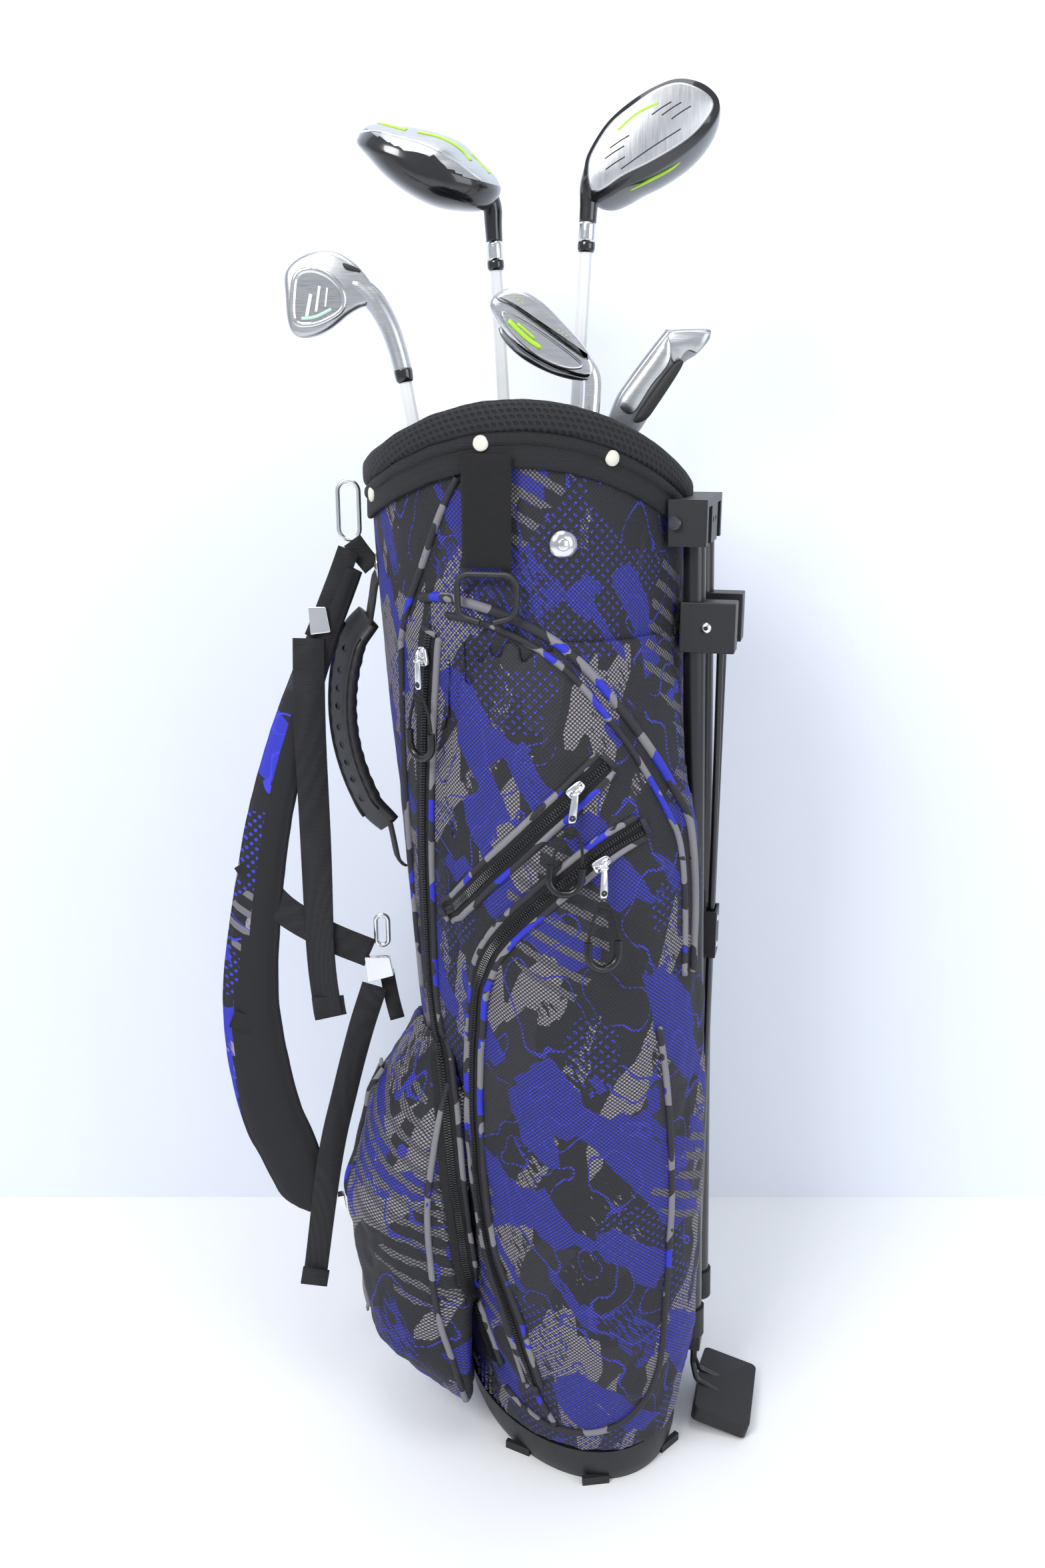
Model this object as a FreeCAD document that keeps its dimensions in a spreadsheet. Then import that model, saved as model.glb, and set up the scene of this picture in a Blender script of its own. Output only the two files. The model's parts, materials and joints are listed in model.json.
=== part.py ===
import FreeCAD, Part
import math
import os
from FreeCAD import Placement, Rotation, Vector

# Junior golf stand bag with five clubs in it.  Millimetres, +Z up.
# The origin is the middle of the base's resting face.  +X is the side of the stand legs,
# -X the side of the handle and shoulder straps, and the zipped pockets are on the -Y side.

SIZES = {
    # bag tube: the axis leans towards the straps by this much per unit of height
    "bag_lean": 0.05, "bag_wall": 4, "oval_turn": -70, "skin_gap": 0.4,
    # the five ovals of the tube: height, long radius, short radius
    "tube_up_0": 6, "tube_long_0": 121, "tube_short_0": 81,
    "tube_up_1": 130, "tube_long_1": 119, "tube_short_1": 95,
    "tube_up_2": 380, "tube_long_2": 113, "tube_short_2": 107,
    "tube_up_3": 600, "tube_long_3": 115, "tube_short_3": 113.5,
    "tube_up_4": "=rim_peak + 78", "tube_long_4": 117.5, "tube_short_4": 117,
    # mouth: its edge is an arch, high in the middle and low at the legs and straps
    "rim_peak": 822, "rim_radius": 165, "rim_middle": -46,
    "pad_tall": 25, "pad_out": 5, "pad_in": 13,
    "band_drop": 2, "band_tall": 17, "band_thick": 2.2,
    "frame_wall": 3.6, "frame_tall": 28, "divider_thick": 6, "divider_tall": 22,
    "divider_y": 8, "divider_x": -30,
    # moulded boot under the tube
    "boot_tall": 29, "boot_wall": 3.4, "boot_draft": 3, "lug_wide": 22, "lug_tall": 7, "lug_out": 4,
    # stand: turned about +Z so that it faces a little towards the pockets
    "stand_turn": -14, "leg_spread": 28, "leg_splay": 25,
    "leg_diameter": 16, "leg_wall": 1.4, "leg_pivot_up": 766, "leg_pivot_out": 90, "leg_above": 4.5,
    "leg_end_out": 110, "leg_end_up": 92, "leg_end_spread": 26, "pin_diameter": 5,
    "leg_foot_diameter": 20, "leg_foot_tall": 26,
    "bracket_tall": 32, "bracket_roof": 5.5, "bracket_back": 70, "bracket_front": 101,
    "ear_outer_gap": 4.2, "ear_inner_gap": 1.6, "ear_thick": 9, "pin_head": 9, "pin_head_tall": 2.4,
    "clamp_drop": 74, "clamp_tall": 36, "clamp_wide": 21, "clamp_back": 9.4, "clamp_reach": 30,
    "clamp_slot": 16, "clamp_slot_tall": 12, "clamp_slot_deep": 8,
    "rod_diameter": 5, "rod_out": 110, "strand_gap": 7, "strand_play": 0.9, "strand_spread": 13.5, "strand_top": 692,
    "sleeve_top": 466, "sleeve_tall": 38, "sleeve_wide": 22, "sleeve_deep": 10, "sleeve_pin": 6,
    "guide_up": 62, "guide_tall": 30, "guide_wide": 27, "guide_deep": 12, "guide_gap": 0.6,
    "kick_wide": 78, "kick_deep": 48, "kick_thick": 13, "kick_out": 113,
    "kick_slope": 14, "kick_floor_gap": 2.0,
    # pockets, each a bulge over the tube
    "channel_near": 50, "channel_far": 44, "pocket_split": 345, "pocket_gap": 1.2,
    "front_top": 690, "front_bottom": 31, "side_seam": -86, "side_top": 368,
    # carry handle and straps
    "handle_top_up": 690, "handle_low_up": 525, "handle_bow": 27, "handle_thick": 12,
    "handle_wide": 38, "handle_standoff": 5, "loop_thick": 3, "loop_wide": 30, "loop_tall": 34,
    "strap_thick": 8, "strap_y": -6, "webbing_wide": 25, "webbing_thick": 2,
    "ring_thick": 3.5, "ring_tall": 46, "ring_wide": 19,
    # zips
    "slider_wide": 8.5, "slider_long": 13, "slider_thick": 5, "zip_standoff": 3.2,
    "tape_wide": 28, "tape_thick": 1.2, "tab_wide": 5, "tab_long": 24, "tab_thick": 1.8,
    "pull_cord": 2.2, "grip_thick": 5.4, "grip_radius": 11, "pull_out": 11,
    # clubs
    "shaft_tip": 9, "shaft_butt": 14, "club_floor": 16, "grip_long": 235,
    "club_grip_butt": 25, "club_grip_tip": 17, "neck_diameter": 12.6,
}

doc = FreeCAD.newDocument("GolfClubSet")
sheet = doc.addObject("Spreadsheet::Sheet", "Sizes")
for row, (name, value) in enumerate(SIZES.items(), start=1):
    sheet.set(f"A{row}", name)
    sheet.set(f"B{row}", str(value))
    sheet.setAlias(f"B{row}", name)
doc.recompute()


def size(name):
    """A driving dimension, as the sheet holds it."""
    return float(sheet.get(name))


NODES = []


def node(obj, name):
    """Give a finished piece its name."""
    obj.Label = name
    NODES.append(obj)
    return obj


def bind(obj, **sizes):
    """Tie an object's properties to expressions on the sheet."""
    for prop, expression in sizes.items():
        obj.setExpression(prop, expression)
    return obj


def box(length, width, height, place=None):
    obj = doc.addObject("Part::Box", "Block")
    bind(obj, Length=length, Width=width, Height=height)
    obj.Placement = place or Placement()
    return obj


def cylinder(radius, height, place=None):
    obj = doc.addObject("Part::Cylinder", "Round")
    bind(obj, Radius=radius, Height=height)
    obj.Placement = place or Placement()
    return obj


def cut(base, tool):
    obj = doc.addObject("Part::Cut", "Cut")
    obj.Base, obj.Tool = base, tool
    return obj


def common(*shapes):
    obj = doc.addObject("Part::MultiCommon", "Common")
    obj.Shapes = list(shapes)
    return obj


def fuse(*shapes):
    obj = doc.addObject("Part::MultiFuse", "Fuse")
    obj.Shapes = list(shapes)
    return obj


def group(*shapes):
    """Separate solids kept in one node."""
    obj = doc.addObject("Part::Compound", "Group")
    obj.Links = list(shapes)
    return obj


def along(start, end):
    """A placement at start whose +Z points to end."""
    return Placement(start, Rotation(Vector(0, 0, 1), end.sub(start)))


def solid(shape, name="Shaped"):
    obj = doc.addObject("Part::Feature", name)
    obj.Shape = shape
    return obj


def sweep(points, diameter, factor=0.45, radii=None, label=None):
    """A round rod or cord along straight runs joined by tangent arcs."""
    edges, start, made = [], points[0], []
    for here, corner, after in zip(points, points[1:], points[2:]):
        into = corner.sub(here)
        out = after.sub(corner)
        half = into.getAngle(out) / 2
        reach = factor * min(into.Length, out.Length)
        radius = reach / math.tan(half)
        if radii:
            radius = min(radius, radii)
            reach = radius * math.tan(half)
        made.append(round(radius, 1))
        into.normalize()
        out.normalize()
        first = corner.sub(into * reach)
        last = corner.add(out * reach)
        inward = out.sub(into)
        inward.normalize()
        middle = corner.add(inward * (radius / math.cos(half) - radius))
        edges.append(Part.LineSegment(start, first).toShape())
        edges.append(Part.Arc(first, middle, last).toShape())
        start = last
    edges.append(Part.LineSegment(start, points[-1]).toShape())
    path = Part.Wire(edges)
    profile = Part.Wire(Part.Circle(points[0], points[1].sub(points[0]), diameter / 2).toShape())
    body = path.makePipeShell([profile], True, True)
    expected = path.Length * math.pi * diameter ** 2 / 4
    if label:
        print(label, "length", round(path.Length, 1), "radii", made,
              "volume ratio", round(body.Volume / expected, 4))
    return body


# ---------------------------------------------------------------- lofted forms
class Form:
    """A stack of ovals with straight sides between them, all turned the same way."""

    def __init__(self, levels, turn):
        self.levels, self.turn = levels, turn

    def at(self, up):
        """Centre x, centre y, long and short radius at a height."""
        for low, high in zip(self.levels, self.levels[1:]):
            if up <= high[0] or high is self.levels[-1]:
                share = (up - low[0]) / (high[0] - low[0])
                return [a + (b - a) * share for a, b in zip(low[1:], high[1:])]

    def skin(self, angle, up, out=0.0):
        """The point on the side at an angle from +X, in degrees, and a height."""
        x, y, long, short = self.at(up)
        turned = math.radians(angle - self.turn)
        radius = long * short / math.hypot(short * math.cos(turned), long * math.sin(turned)) + out
        return Vector(x + radius * math.cos(math.radians(angle)),
                      y + radius * math.sin(math.radians(angle)), up)

    def loft(self, grow=0.0, low=None, high=None):
        """The solid, made larger all round by grow, between two heights."""
        rows = [(row[0], *row[1:]) for row in self.levels]
        if low is not None:
            rows = [(low, *self.at(low))] + [row for row in rows if row[0] > low + 1]
        if high is not None:
            rows = [row for row in rows if row[0] < high - 1] + [(high, *self.at(high))]
        ovals = []
        for up, x, y, long, short in rows:
            oval = doc.addObject("Part::Ellipse", "Oval")
            oval.MajorRadius, oval.MinorRadius = long + grow, short + grow
            oval.Placement = Placement(Vector(x, y, up), Rotation(Vector(0, 0, 1), self.turn))
            ovals.append(oval)
        obj = doc.addObject("Part::Loft", "Loft")
        obj.Sections, obj.Solid, obj.Ruled = ovals, True, True
        return obj


def lean_x(up):
    """How far the bag's axis has moved along X at a height."""
    return -size("bag_lean") * up


TURN = size("oval_turn")
tube = Form([(size(f"tube_up_{i}"), lean_x(size(f"tube_up_{i}")), 0.0,
              size(f"tube_long_{i}"), size(f"tube_short_{i}")) for i in range(5)], TURN)


def pocket_form(rows, turn=TURN):
    """A bulge: each row is height, offset from the bag's axis in x and y, long and short radius."""
    return Form([(up, lean_x(up) + dx, dy, long, short) for up, dx, dy, long, short in rows], turn)


front = pocket_form([(size("front_bottom"), 3, -4, size("tube_long_0"), size("tube_short_0") + 6),
                     (130, 12, -18, size("tube_long_1") + 3, size("tube_short_1") + 4),
                     (330, 19, -27, size("tube_long_2"), size("tube_short_2")),
                     (520, 17, -25, size("tube_long_2") - 1, size("tube_short_2")),
                     (size("front_top"), 3, -4, 114.6, 113.6)])
side = pocket_form([(32, -62, -20, 62, 44), (100, -104, -22, 74, 66), (215, -112, -20, 76, 68),
                    (300, -88, -16, 72, 64), (size("side_top"), -46, -10, 70, 62)], turn=-90)
rear = pocket_form([(60, 14, 20, 92, 76), (150, 32, 38, 92, 84), (330, 36, 42, 88, 82),
                    (430, 12, 20, 94, 88)])
keep_clear = tube.loft(size("skin_gap"))


# ---------------------------------------------------------------- bag shell, mouth and base
def under_arch(shrink=0.0):
    """Everything below the mouth's arch, moved inwards by shrink."""
    radius = size("rim_radius") - shrink
    centre = size("rim_peak") - size("rim_radius")
    drum = cylinder(f"Sizes.rim_radius - {shrink}", "400",
                    Placement(Vector(size("rim_middle"), -200, centre), Rotation(Vector(1, 0, 0), -90)))
    block = box(f"2 * (Sizes.rim_radius - {shrink})", "400", "Sizes.rim_peak - Sizes.rim_radius + 1",
                Placement(Vector(size("rim_middle") - radius, -200, 0), Rotation()))
    return fuse(drum, block)


def hoop(out, inside, top, bottom):
    """A ring of the tube's shape between two growths, and between two arches."""
    ring = cut(tube.loft(out, low=500), tube.loft(inside, low=500))
    return cut(common(ring, under_arch(top)), under_arch(bottom))


WALL = size("bag_wall")
inner_tube = tube.loft(-WALL, low=size("tube_up_0") + WALL)
bag_shell = node(common(cut(tube.loft(), inner_tube), under_arch()), "bag_shell")

collar_pad = node(hoop(size("pad_out"), -size("pad_in"), -size("pad_tall"), -size("skin_gap")),
                  "collar_pad")
rim_band = node(hoop(size("skin_gap") + size("band_thick"), size("skin_gap"), size("band_drop"),
                     size("band_drop") + size("band_tall")), "rim_band")

frame_out = -(WALL + size("skin_gap"))
frame_ring = hoop(frame_out, frame_out - size("frame_wall"), size("skin_gap"), size("frame_tall"))
bar_x = box("300", "Sizes.divider_thick", "400",
            Placement(Vector(-190, size("divider_y") - size("divider_thick") / 2, 600), Rotation()))
bar_y = box("Sizes.divider_thick", "300", "400",
            Placement(Vector(size("divider_x") - size("divider_thick") / 2, -150, 600), Rotation()))
bars = cut(common(fuse(bar_x, bar_y), tube.loft(frame_out - size("frame_wall") / 2, low=500),
                  under_arch(3)), under_arch(3 + size("divider_tall")))
mouth_frame = node(fuse(frame_ring, bars), "mouth_frame")

boot_form = Form([(0, 0, 0, size("tube_long_0") + size("boot_wall") - size("boot_draft"),
                   size("tube_short_0") + size("boot_wall") - size("boot_draft")),
                  (9, lean_x(9), 0, size("tube_long_0") + size("boot_wall"),
                   size("tube_short_0") + size("boot_wall")),
                  (size("boot_tall"), lean_x(size("boot_tall")), 0,
                   tube.at(size("boot_tall"))[2] + size("boot_wall"),
                   tube.at(size("boot_tall"))[3] + size("boot_wall"))], TURN)
base_boot = node(cut(boot_form.loft(), keep_clear), "base_boot")

lugs = []
for angle in (-118, -82, -45, 70, 110, 150):
    spot = boot_form.skin(angle, 9, 0)
    lug = box("Sizes.lug_out", "Sizes.lug_wide", "Sizes.lug_tall",
              Placement(Vector(spot.x, spot.y, 0), Rotation(Vector(0, 0, 1), angle))
              .multiply(Placement(Vector(-1, -size("lug_wide") / 2, 0), Rotation())))
    lugs.append(lug)
base_lugs = node(cut(group(*lugs), boot_form.loft(0.2)), "base_lugs")

# ---------------------------------------------------------------- pockets
STAND = Placement(Vector(), Rotation(Vector(0, 0, 1), size("stand_turn")))


def stand_middle(up):
    """The bag's axis at a height, seen in the stand's own turned frame."""
    return STAND.inverse().multVec(Vector(lean_x(up), 0, 0))


def stand_box(x, y, z, length, width, height):
    """A block in the stand's frame."""
    return box(length, width, height, STAND.multiply(Placement(Vector(x, y, z), Rotation())))


front_room = stand_box(-300, -300, 0, "600", "300 - Sizes.channel_near", "900")
rear_room = stand_box(-20, size("channel_far"), 0, "300", "300", "900")

split = size("pocket_split")
upper_front = front.loft(low=split + size("pocket_gap"))
lower_front = front.loft(high=split)
side_clear = front.loft(size("skin_gap"))
boot_clear = boot_form.loft(0.3)
past_seam = box("300", "600", "Sizes.side_top + Sizes.pocket_gap",
                Placement(Vector(size("side_seam") - 300, -300, 0), Rotation()))
side_room = box("300", "600", "900",
                Placement(Vector(size("side_seam") - size("pocket_gap") - 300, -300, 0), Rotation()))
apparel_pocket = node(cut(cut(common(upper_front, front_room), past_seam), keep_clear),
                      "apparel_pocket")
lower_pocket = node(cut(cut(cut(common(lower_front, front_room), past_seam), keep_clear),
                        boot_clear), "lower_pocket")
side_pocket = node(cut(cut(common(side.loft(), side_room), keep_clear), boot_clear), "side_pocket")
rear_pocket = node(cut(common(rear.loft(), rear_room), keep_clear), "rear_pocket")

# ---------------------------------------------------------------- stand, in its own turned frame
pivot_up, pivot_out = size("leg_pivot_up"), size("leg_pivot_out")
middle_y = stand_middle(pivot_up).y
CENTRE = {side_name: (middle_y + sign * size("leg_spread"), sign)
          for side_name, sign in (("near", -1), ("far", 1))}


def leg_ends(side_name):
    """A leg's pivot and its lower end."""
    y, sign = CENTRE[side_name]
    low_y = stand_middle(size("leg_end_up")).y + sign * size("leg_end_spread")
    return Vector(pivot_out, y, pivot_up), Vector(size("leg_end_out"), low_y, size("leg_end_up"))


def leg_axis(side_name):
    """The hinge line of a leg: turning about it swings the leg out and sideways."""
    sign = CENTRE[side_name][1]
    splay = math.radians(size("leg_splay"))
    return Vector(sign * math.sin(splay), -math.cos(splay), 0)


def pin_bar(side_name):
    """A round bar on a leg's hinge line, long enough to cross both ears."""
    pivot, _ = leg_ends(side_name)
    reach = size("leg_spread") - 3
    start = pivot.sub(leg_axis(side_name) * reach)
    end = pivot.add(leg_axis(side_name) * reach)
    return cylinder("Sizes.pin_diameter / 2", "2 * (Sizes.leg_spread - 3)",
                    STAND.multiply(along(start, end)))


def on_stand(shape):
    """Put a shape made in the stand's frame where the stand is."""
    shape = shape.copy()
    shape.Placement = STAND.multiply(shape.Placement)
    return shape


# bracket: a back block on the tube with an ear each side of each leg
ear_out = size("leg_spread") + size("leg_diameter") / 2 + size("ear_outer_gap")
ear_in = size("leg_spread") - size("leg_diameter") / 2 - size("ear_inner_gap")
bracket_half = ear_out + size("ear_thick")
bracket_low = pivot_up - size("bracket_tall") / 2
front_face = size("bracket_front")


def stand_block(x0, x1, y0, y1, z0, z1):
    """A block in the stand's frame, given by its faces."""
    return stand_box(x0, y0, z0, f"{x1 - x0}", f"{y1 - y0}", f"{z1 - z0}")


bracket_high = bracket_low + size("bracket_tall")
block = stand_block(40, front_face, middle_y - bracket_half, middle_y + bracket_half,
                    bracket_low, bracket_high)
rooms, pins = [], []
for side_name, (y, sign) in CENTRE.items():
    low_y, high_y = sorted((y + sign * (ear_out - size("leg_spread")),
                            y - sign * (size("leg_spread") - ear_in)))
    rooms.append(stand_block(size("bracket_back"), front_face + 5, low_y, high_y, bracket_low - 1,
                             bracket_high - size("bracket_roof")))
    pins.append(pin_bar(side_name))
pad_clear = tube.loft(size("pad_out") + 0.6, low=500)
stand_bracket = node(cut(cut(cut(block, pad_clear), group(*rooms)), group(*pins)), "stand_bracket")

# leg pins, with a screw head on each outer ear
pin_pieces = []
for side_name, (y, sign) in CENTRE.items():
    pivot, _ = leg_ends(side_name)
    outward = leg_axis(side_name) * (1 if sign < 0 else -1)
    reach = (bracket_half - size("leg_spread")) / math.cos(math.radians(size("leg_splay"))) + 1.5
    head_at = pivot.add(outward * reach)
    head = cylinder("Sizes.pin_head / 2", "Sizes.pin_head_tall",
                    STAND.multiply(along(head_at, head_at.add(outward))))
    inner = pivot.sub(outward * (size("leg_spread") - ear_in + 5))
    shank = cylinder("Sizes.pin_diameter / 2", f"{head_at.sub(inner).Length}",
                     STAND.multiply(along(inner, head_at)))
    pin_pieces.append(fuse(shank, head))
leg_pins = node(cut(group(*pin_pieces), stand_bracket), "leg_pins")

# legs, their clamps and rubber feet
for side_name, (y, sign) in CENTRE.items():
    pivot, low = leg_ends(side_name)
    down = low.sub(pivot)
    run = down.Length
    down.normalize()
    top = pivot.sub(down * size("leg_above"))
    frame = STAND.multiply(along(top, low))
    length = f"{run + size('leg_above') - size('leg_foot_tall')}"
    tube_out = cylinder("Sizes.leg_diameter / 2", length, frame)
    tube_in = cylinder("Sizes.leg_diameter / 2 - Sizes.leg_wall", length, frame)
    clear_pin = cylinder("Sizes.pin_diameter / 2 + 0.3", "80",
                         STAND.multiply(along(pivot.sub(leg_axis(side_name) * 40), pivot)))
    node(cut(cut(tube_out, tube_in), clear_pin), f"leg_tube_{side_name}")
    foot_top = low.sub(down * size("leg_foot_tall"))
    foot = cylinder("Sizes.leg_foot_diameter / 2", "Sizes.leg_foot_tall",
                    STAND.multiply(along(foot_top, low)))
    node(foot, f"leg_foot_{side_name}")
    hold = pivot.add(down * size("clamp_drop"))
    half = size("clamp_wide") / 2
    clamp = stand_block(hold.x - size("clamp_back"), hold.x + size("clamp_reach"), hold.y - half,
                        hold.y + half, hold.z - size("clamp_tall") / 2, hold.z + size("clamp_tall") / 2)
    strand_x = size("rod_out")
    inner_y = hold.y - sign * half
    y0, y1 = sorted((inner_y + sign * size("clamp_slot_deep"), inner_y - sign))
    slot = stand_block(strand_x - size("clamp_slot") / 2, strand_x + size("clamp_slot") / 2, y0, y1,
                       size("strand_top") - size("clamp_slot_tall") / 2 - 1,
                       size("strand_top") + size("clamp_slot_tall") / 2 - 1)
    node(cut(cut(clamp, cylinder("Sizes.leg_diameter / 2", length, frame)), slot), f"leg_clamp_{side_name}")

# kick wire: two rods from the rubber foot up to the sleeve, and a strand from there to each clamp
ROD = size("rod_diameter")
rod_x, strand_gap = size("rod_out"), size("strand_gap") / 2
sleeve_top, sleeve_low = size("sleeve_top"), size("sleeve_top") - size("sleeve_tall")
for side_name, (y, sign) in CENTRE.items():
    base_y = stand_middle(sleeve_top).y + sign * strand_gap
    top_y = middle_y + sign * size("strand_spread")
    hook_y = top_y + sign * (size("strand_gap") - 1)
    route = [Vector(rod_x, base_y, sleeve_top - size("sleeve_pin")),
             Vector(rod_x, base_y + sign * 1.0, sleeve_top + 60),
             Vector(rod_x, top_y, size("strand_top") - 1), Vector(rod_x, hook_y, size("strand_top"))]
    print("strand", side_name, "pivot", STAND.multVec(route[0]), "leg pivot",
          STAND.multVec(leg_ends(side_name)[0]), "leg axis", STAND.multVec(leg_axis(side_name)))
    node(solid(on_stand(sweep(route, ROD, radii=6))), f"strand_{side_name}")

kick_x, floor_gap = size("kick_out"), size("kick_floor_gap")
kick_mid = Vector(kick_x + size("kick_deep") / 2, stand_middle(0).y, 0)
slope = Rotation(Vector(0, 1, 0), size("kick_slope"))
rods = []
for sign in (-1, 1):
    y = stand_middle(sleeve_low).y + sign * strand_gap
    low_y = stand_middle(0).y + sign * strand_gap
    rods.append(on_stand(sweep(
        [Vector(rod_x, y, sleeve_low + size("sleeve_pin")), Vector(rod_x, y + (low_y - y) * 0.9, 42),
         Vector(rod_x + 4, low_y + sign * 4, 28), Vector(rod_x + 26, low_y + sign * 6, 18)],
        ROD, radii=9)))
rod_pair = group(*[solid(rod) for rod in rods])
node(rod_pair, "kick_rods")

sleeve_y = stand_middle(sleeve_top).y
sleeve_block = stand_block(rod_x - size("sleeve_deep") / 2, rod_x + size("sleeve_deep") / 2,
                           sleeve_y - size("sleeve_wide") / 2, sleeve_y + size("sleeve_wide") / 2,
                           sleeve_low, sleeve_top)
strand_room = stand_block(rod_x - ROD / 2 - size("strand_play"), rod_x + ROD / 2 + size("strand_play"), sleeve_y - size("sleeve_wide") / 2 + 2.5,
                          sleeve_y + size("sleeve_wide") / 2 - 2.5, sleeve_top - size("sleeve_pin") - 4,
                          sleeve_top + 1)
node(cut(cut(sleeve_block, strand_room), rod_pair), "wire_sleeve")

guide_y = stand_middle(size("guide_up")).y
guide_block = stand_block(60, rod_x + size("guide_deep") / 2, guide_y - size("guide_wide") / 2,
                          guide_y + size("guide_wide") / 2, size("guide_up"),
                          size("guide_up") + size("guide_tall"))
guide_room = stand_block(rod_x - ROD / 2 - size("guide_gap"), rod_x + ROD / 2 + size("guide_gap"),
                         guide_y - strand_gap - ROD / 2 - size("guide_gap") - 0.6,
                         guide_y + strand_gap + ROD / 2 + size("guide_gap") + 0.6,
                         size("guide_up") - 5, size("guide_up") + size("guide_tall") + 5)
node(cut(cut(cut(guide_block, keep_clear), boot_clear), guide_room), "wire_guide")

plate = box("Sizes.kick_deep", "Sizes.kick_wide", "Sizes.kick_thick",
            STAND.multiply(Placement(Vector(kick_x, kick_mid.y - size("kick_wide") / 2,
                                            floor_gap + size("kick_deep")
                                            * math.sin(math.radians(size("kick_slope")))), slope)))
rounded = doc.addObject("Part::Fillet", "Fillet")
doc.recompute()
rounded.Base = plate
rounded.Edges = [(i + 1, 5.0, 5.0) for i, edge in enumerate(plate.Shape.Edges)
                 if abs(edge.Length - size("kick_thick")) < 0.01]
node(cut(rounded, rod_pair), "kick_foot")


# ---------------------------------------------------------------- flat pieces cut from sheet
def plate(outline, thick, y, name="Plate"):
    """A body padded both ways from an outline in the XZ plane."""
    body = doc.addObject("PartDesign::Body", name)
    sketch = body.newObject("Sketcher::SketchObject", name + "Sketch")
    plane = [item for item in body.Origin.OriginFeatures if item.Role == "XZ_Plane"][0]
    sketch.AttachmentSupport = [(plane, "")]
    sketch.MapMode = "FlatFace"
    corners = [Vector(x, up, 0) for x, up in outline]
    for here, after in zip(corners, corners[1:] + corners[:1]):
        sketch.addGeometry(Part.LineSegment(here, after))
    pad = body.newObject("PartDesign::Pad", name + "Pad")
    pad.Profile = sketch
    pad.setExpression("Length", thick)
    pad.Midplane = True
    body.Placement = Placement(Vector(0, y, 0), Rotation())
    return body


def strip(middle, wide):
    """The outline of a flat strip that follows a line of points."""
    left, right = [], []
    for i, (x, up) in enumerate(middle):
        before, after = middle[max(i - 1, 0)], middle[min(i + 1, len(middle) - 1)]
        along_x, along_up = after[0] - before[0], after[1] - before[1]
        length = math.hypot(along_x, along_up)
        dx, dup = -along_up / length * wide / 2, along_x / length * wide / 2
        left.append((x + dx, up + dup))
        right.append((x - dx, up - dup))
    return left + right[::-1]


# carry handle: a bow clear of the bag, held by a webbing loop at each end
top_up, low_up = size("handle_top_up"), size("handle_low_up")


def tube_left(up):
    """The tube's side towards the straps, at a height."""
    return tube.skin(180, up).x


bow = []
for i in range(9):
    share = i / 8
    up = top_up + (low_up - top_up) * share
    bow.append((tube_left(up) - size("handle_standoff") - size("handle_thick") / 2
                - size("handle_bow") * math.sin(math.pi * share) ** 0.6, up))
carry_handle = node(plate(strip(bow, size("handle_thick")), "Sizes.handle_wide", 0, "Handle"),
                    "carry_handle")
loops = []
for up, sign in ((top_up, 1), (low_up, -1)):
    x = tube_left(up) - size("handle_standoff") / 2
    loops.append(box("Sizes.loop_thick", "Sizes.loop_wide", "Sizes.loop_tall", Placement(
        Vector(x - size("loop_thick") / 2 - 0.6, -size("loop_wide") / 2,
               up + sign * (size("loop_tall") / 2 + 3) - size("loop_tall") / 2), Rotation())))
handle_loops = node(cut(group(*loops), keep_clear), "handle_loops")

# shoulder strap, its webbing and hardware, hanging beside the bag
strap_y = size("strap_y")
shoulder = [(-176, 738), (-214, 650), (-248, 555), (-267, 483), (-282, 373), (-288, 324), (-283, 263),
            (-266, 215), (-251, 169), (-195, 192), (-215, 247), (-229, 293), (-242, 355), (-248, 420),
            (-236, 500), (-218, 580), (-192, 660), (-166, 718)]
shoulder_strap = node(plate(shoulder, "Sizes.strap_thick", strap_y, "Strap"), "shoulder_strap")
webbing_y = strap_y - size("strap_thick") / 2 - size("webbing_thick") / 2 - 1.5
front_webbing = [(-204, 676), (-206, 600), (-206, 505), (-205, 420), (-201, 368)]
lower_webbing = [(-262, 497), (-240, 462), (-205, 438), (-166, 420)]
tail_webbing = [(-163, 392), (-187, 320), (-205, 235), (-224, 112)]
anchor_webbing = [(-154, 400), (-150, 378), (-146, 362)]
strap_webbing = node(group(
    plate(strip(front_webbing, size("webbing_wide")), "Sizes.webbing_thick", webbing_y - 4, "Web1"),
    plate(strip(lower_webbing, size("webbing_wide")), "Sizes.webbing_thick", webbing_y, "Web2"),
    plate(strip(tail_webbing, size("webbing_wide") - 3), "Sizes.webbing_thick", webbing_y - 4, "Web3"),
    plate(strip(anchor_webbing, 12), "Sizes.webbing_thick", webbing_y + 6, "Web4")), "strap_webbing")


def oval_ring(middle, wide, tall, thick, y, tilt=0.0):
    """A flat wire ring with round ends, thick each way."""
    rod = thick / 2
    half, straight = wide / 2 - rod, tall / 2 - wide / 2
    outer = doc.addObject("Part::Torus", "Bend")
    outer.Radius1, outer.Radius2, outer.Angle3 = half, rod, 180
    outer.Placement = Placement(Vector(0, 0, straight), Rotation(Vector(1, 0, 0), 90))
    lower = doc.addObject("Part::Torus", "Bend")
    lower.Radius1, lower.Radius2, lower.Angle3 = half, rod, 180
    lower.Placement = Placement(Vector(0, 0, -straight), Rotation(Vector(1, 0, 0), -90))
    legs = [cylinder(f"{rod}", f"{2 * straight}", Placement(Vector(x, 0, -straight), Rotation()))
            for x in (-half, half)]
    ring = fuse(outer, lower, *legs)
    ring.Placement = Placement(Vector(middle[0], y, middle[1]), Rotation(Vector(0, 1, 0), tilt))
    return ring


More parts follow.
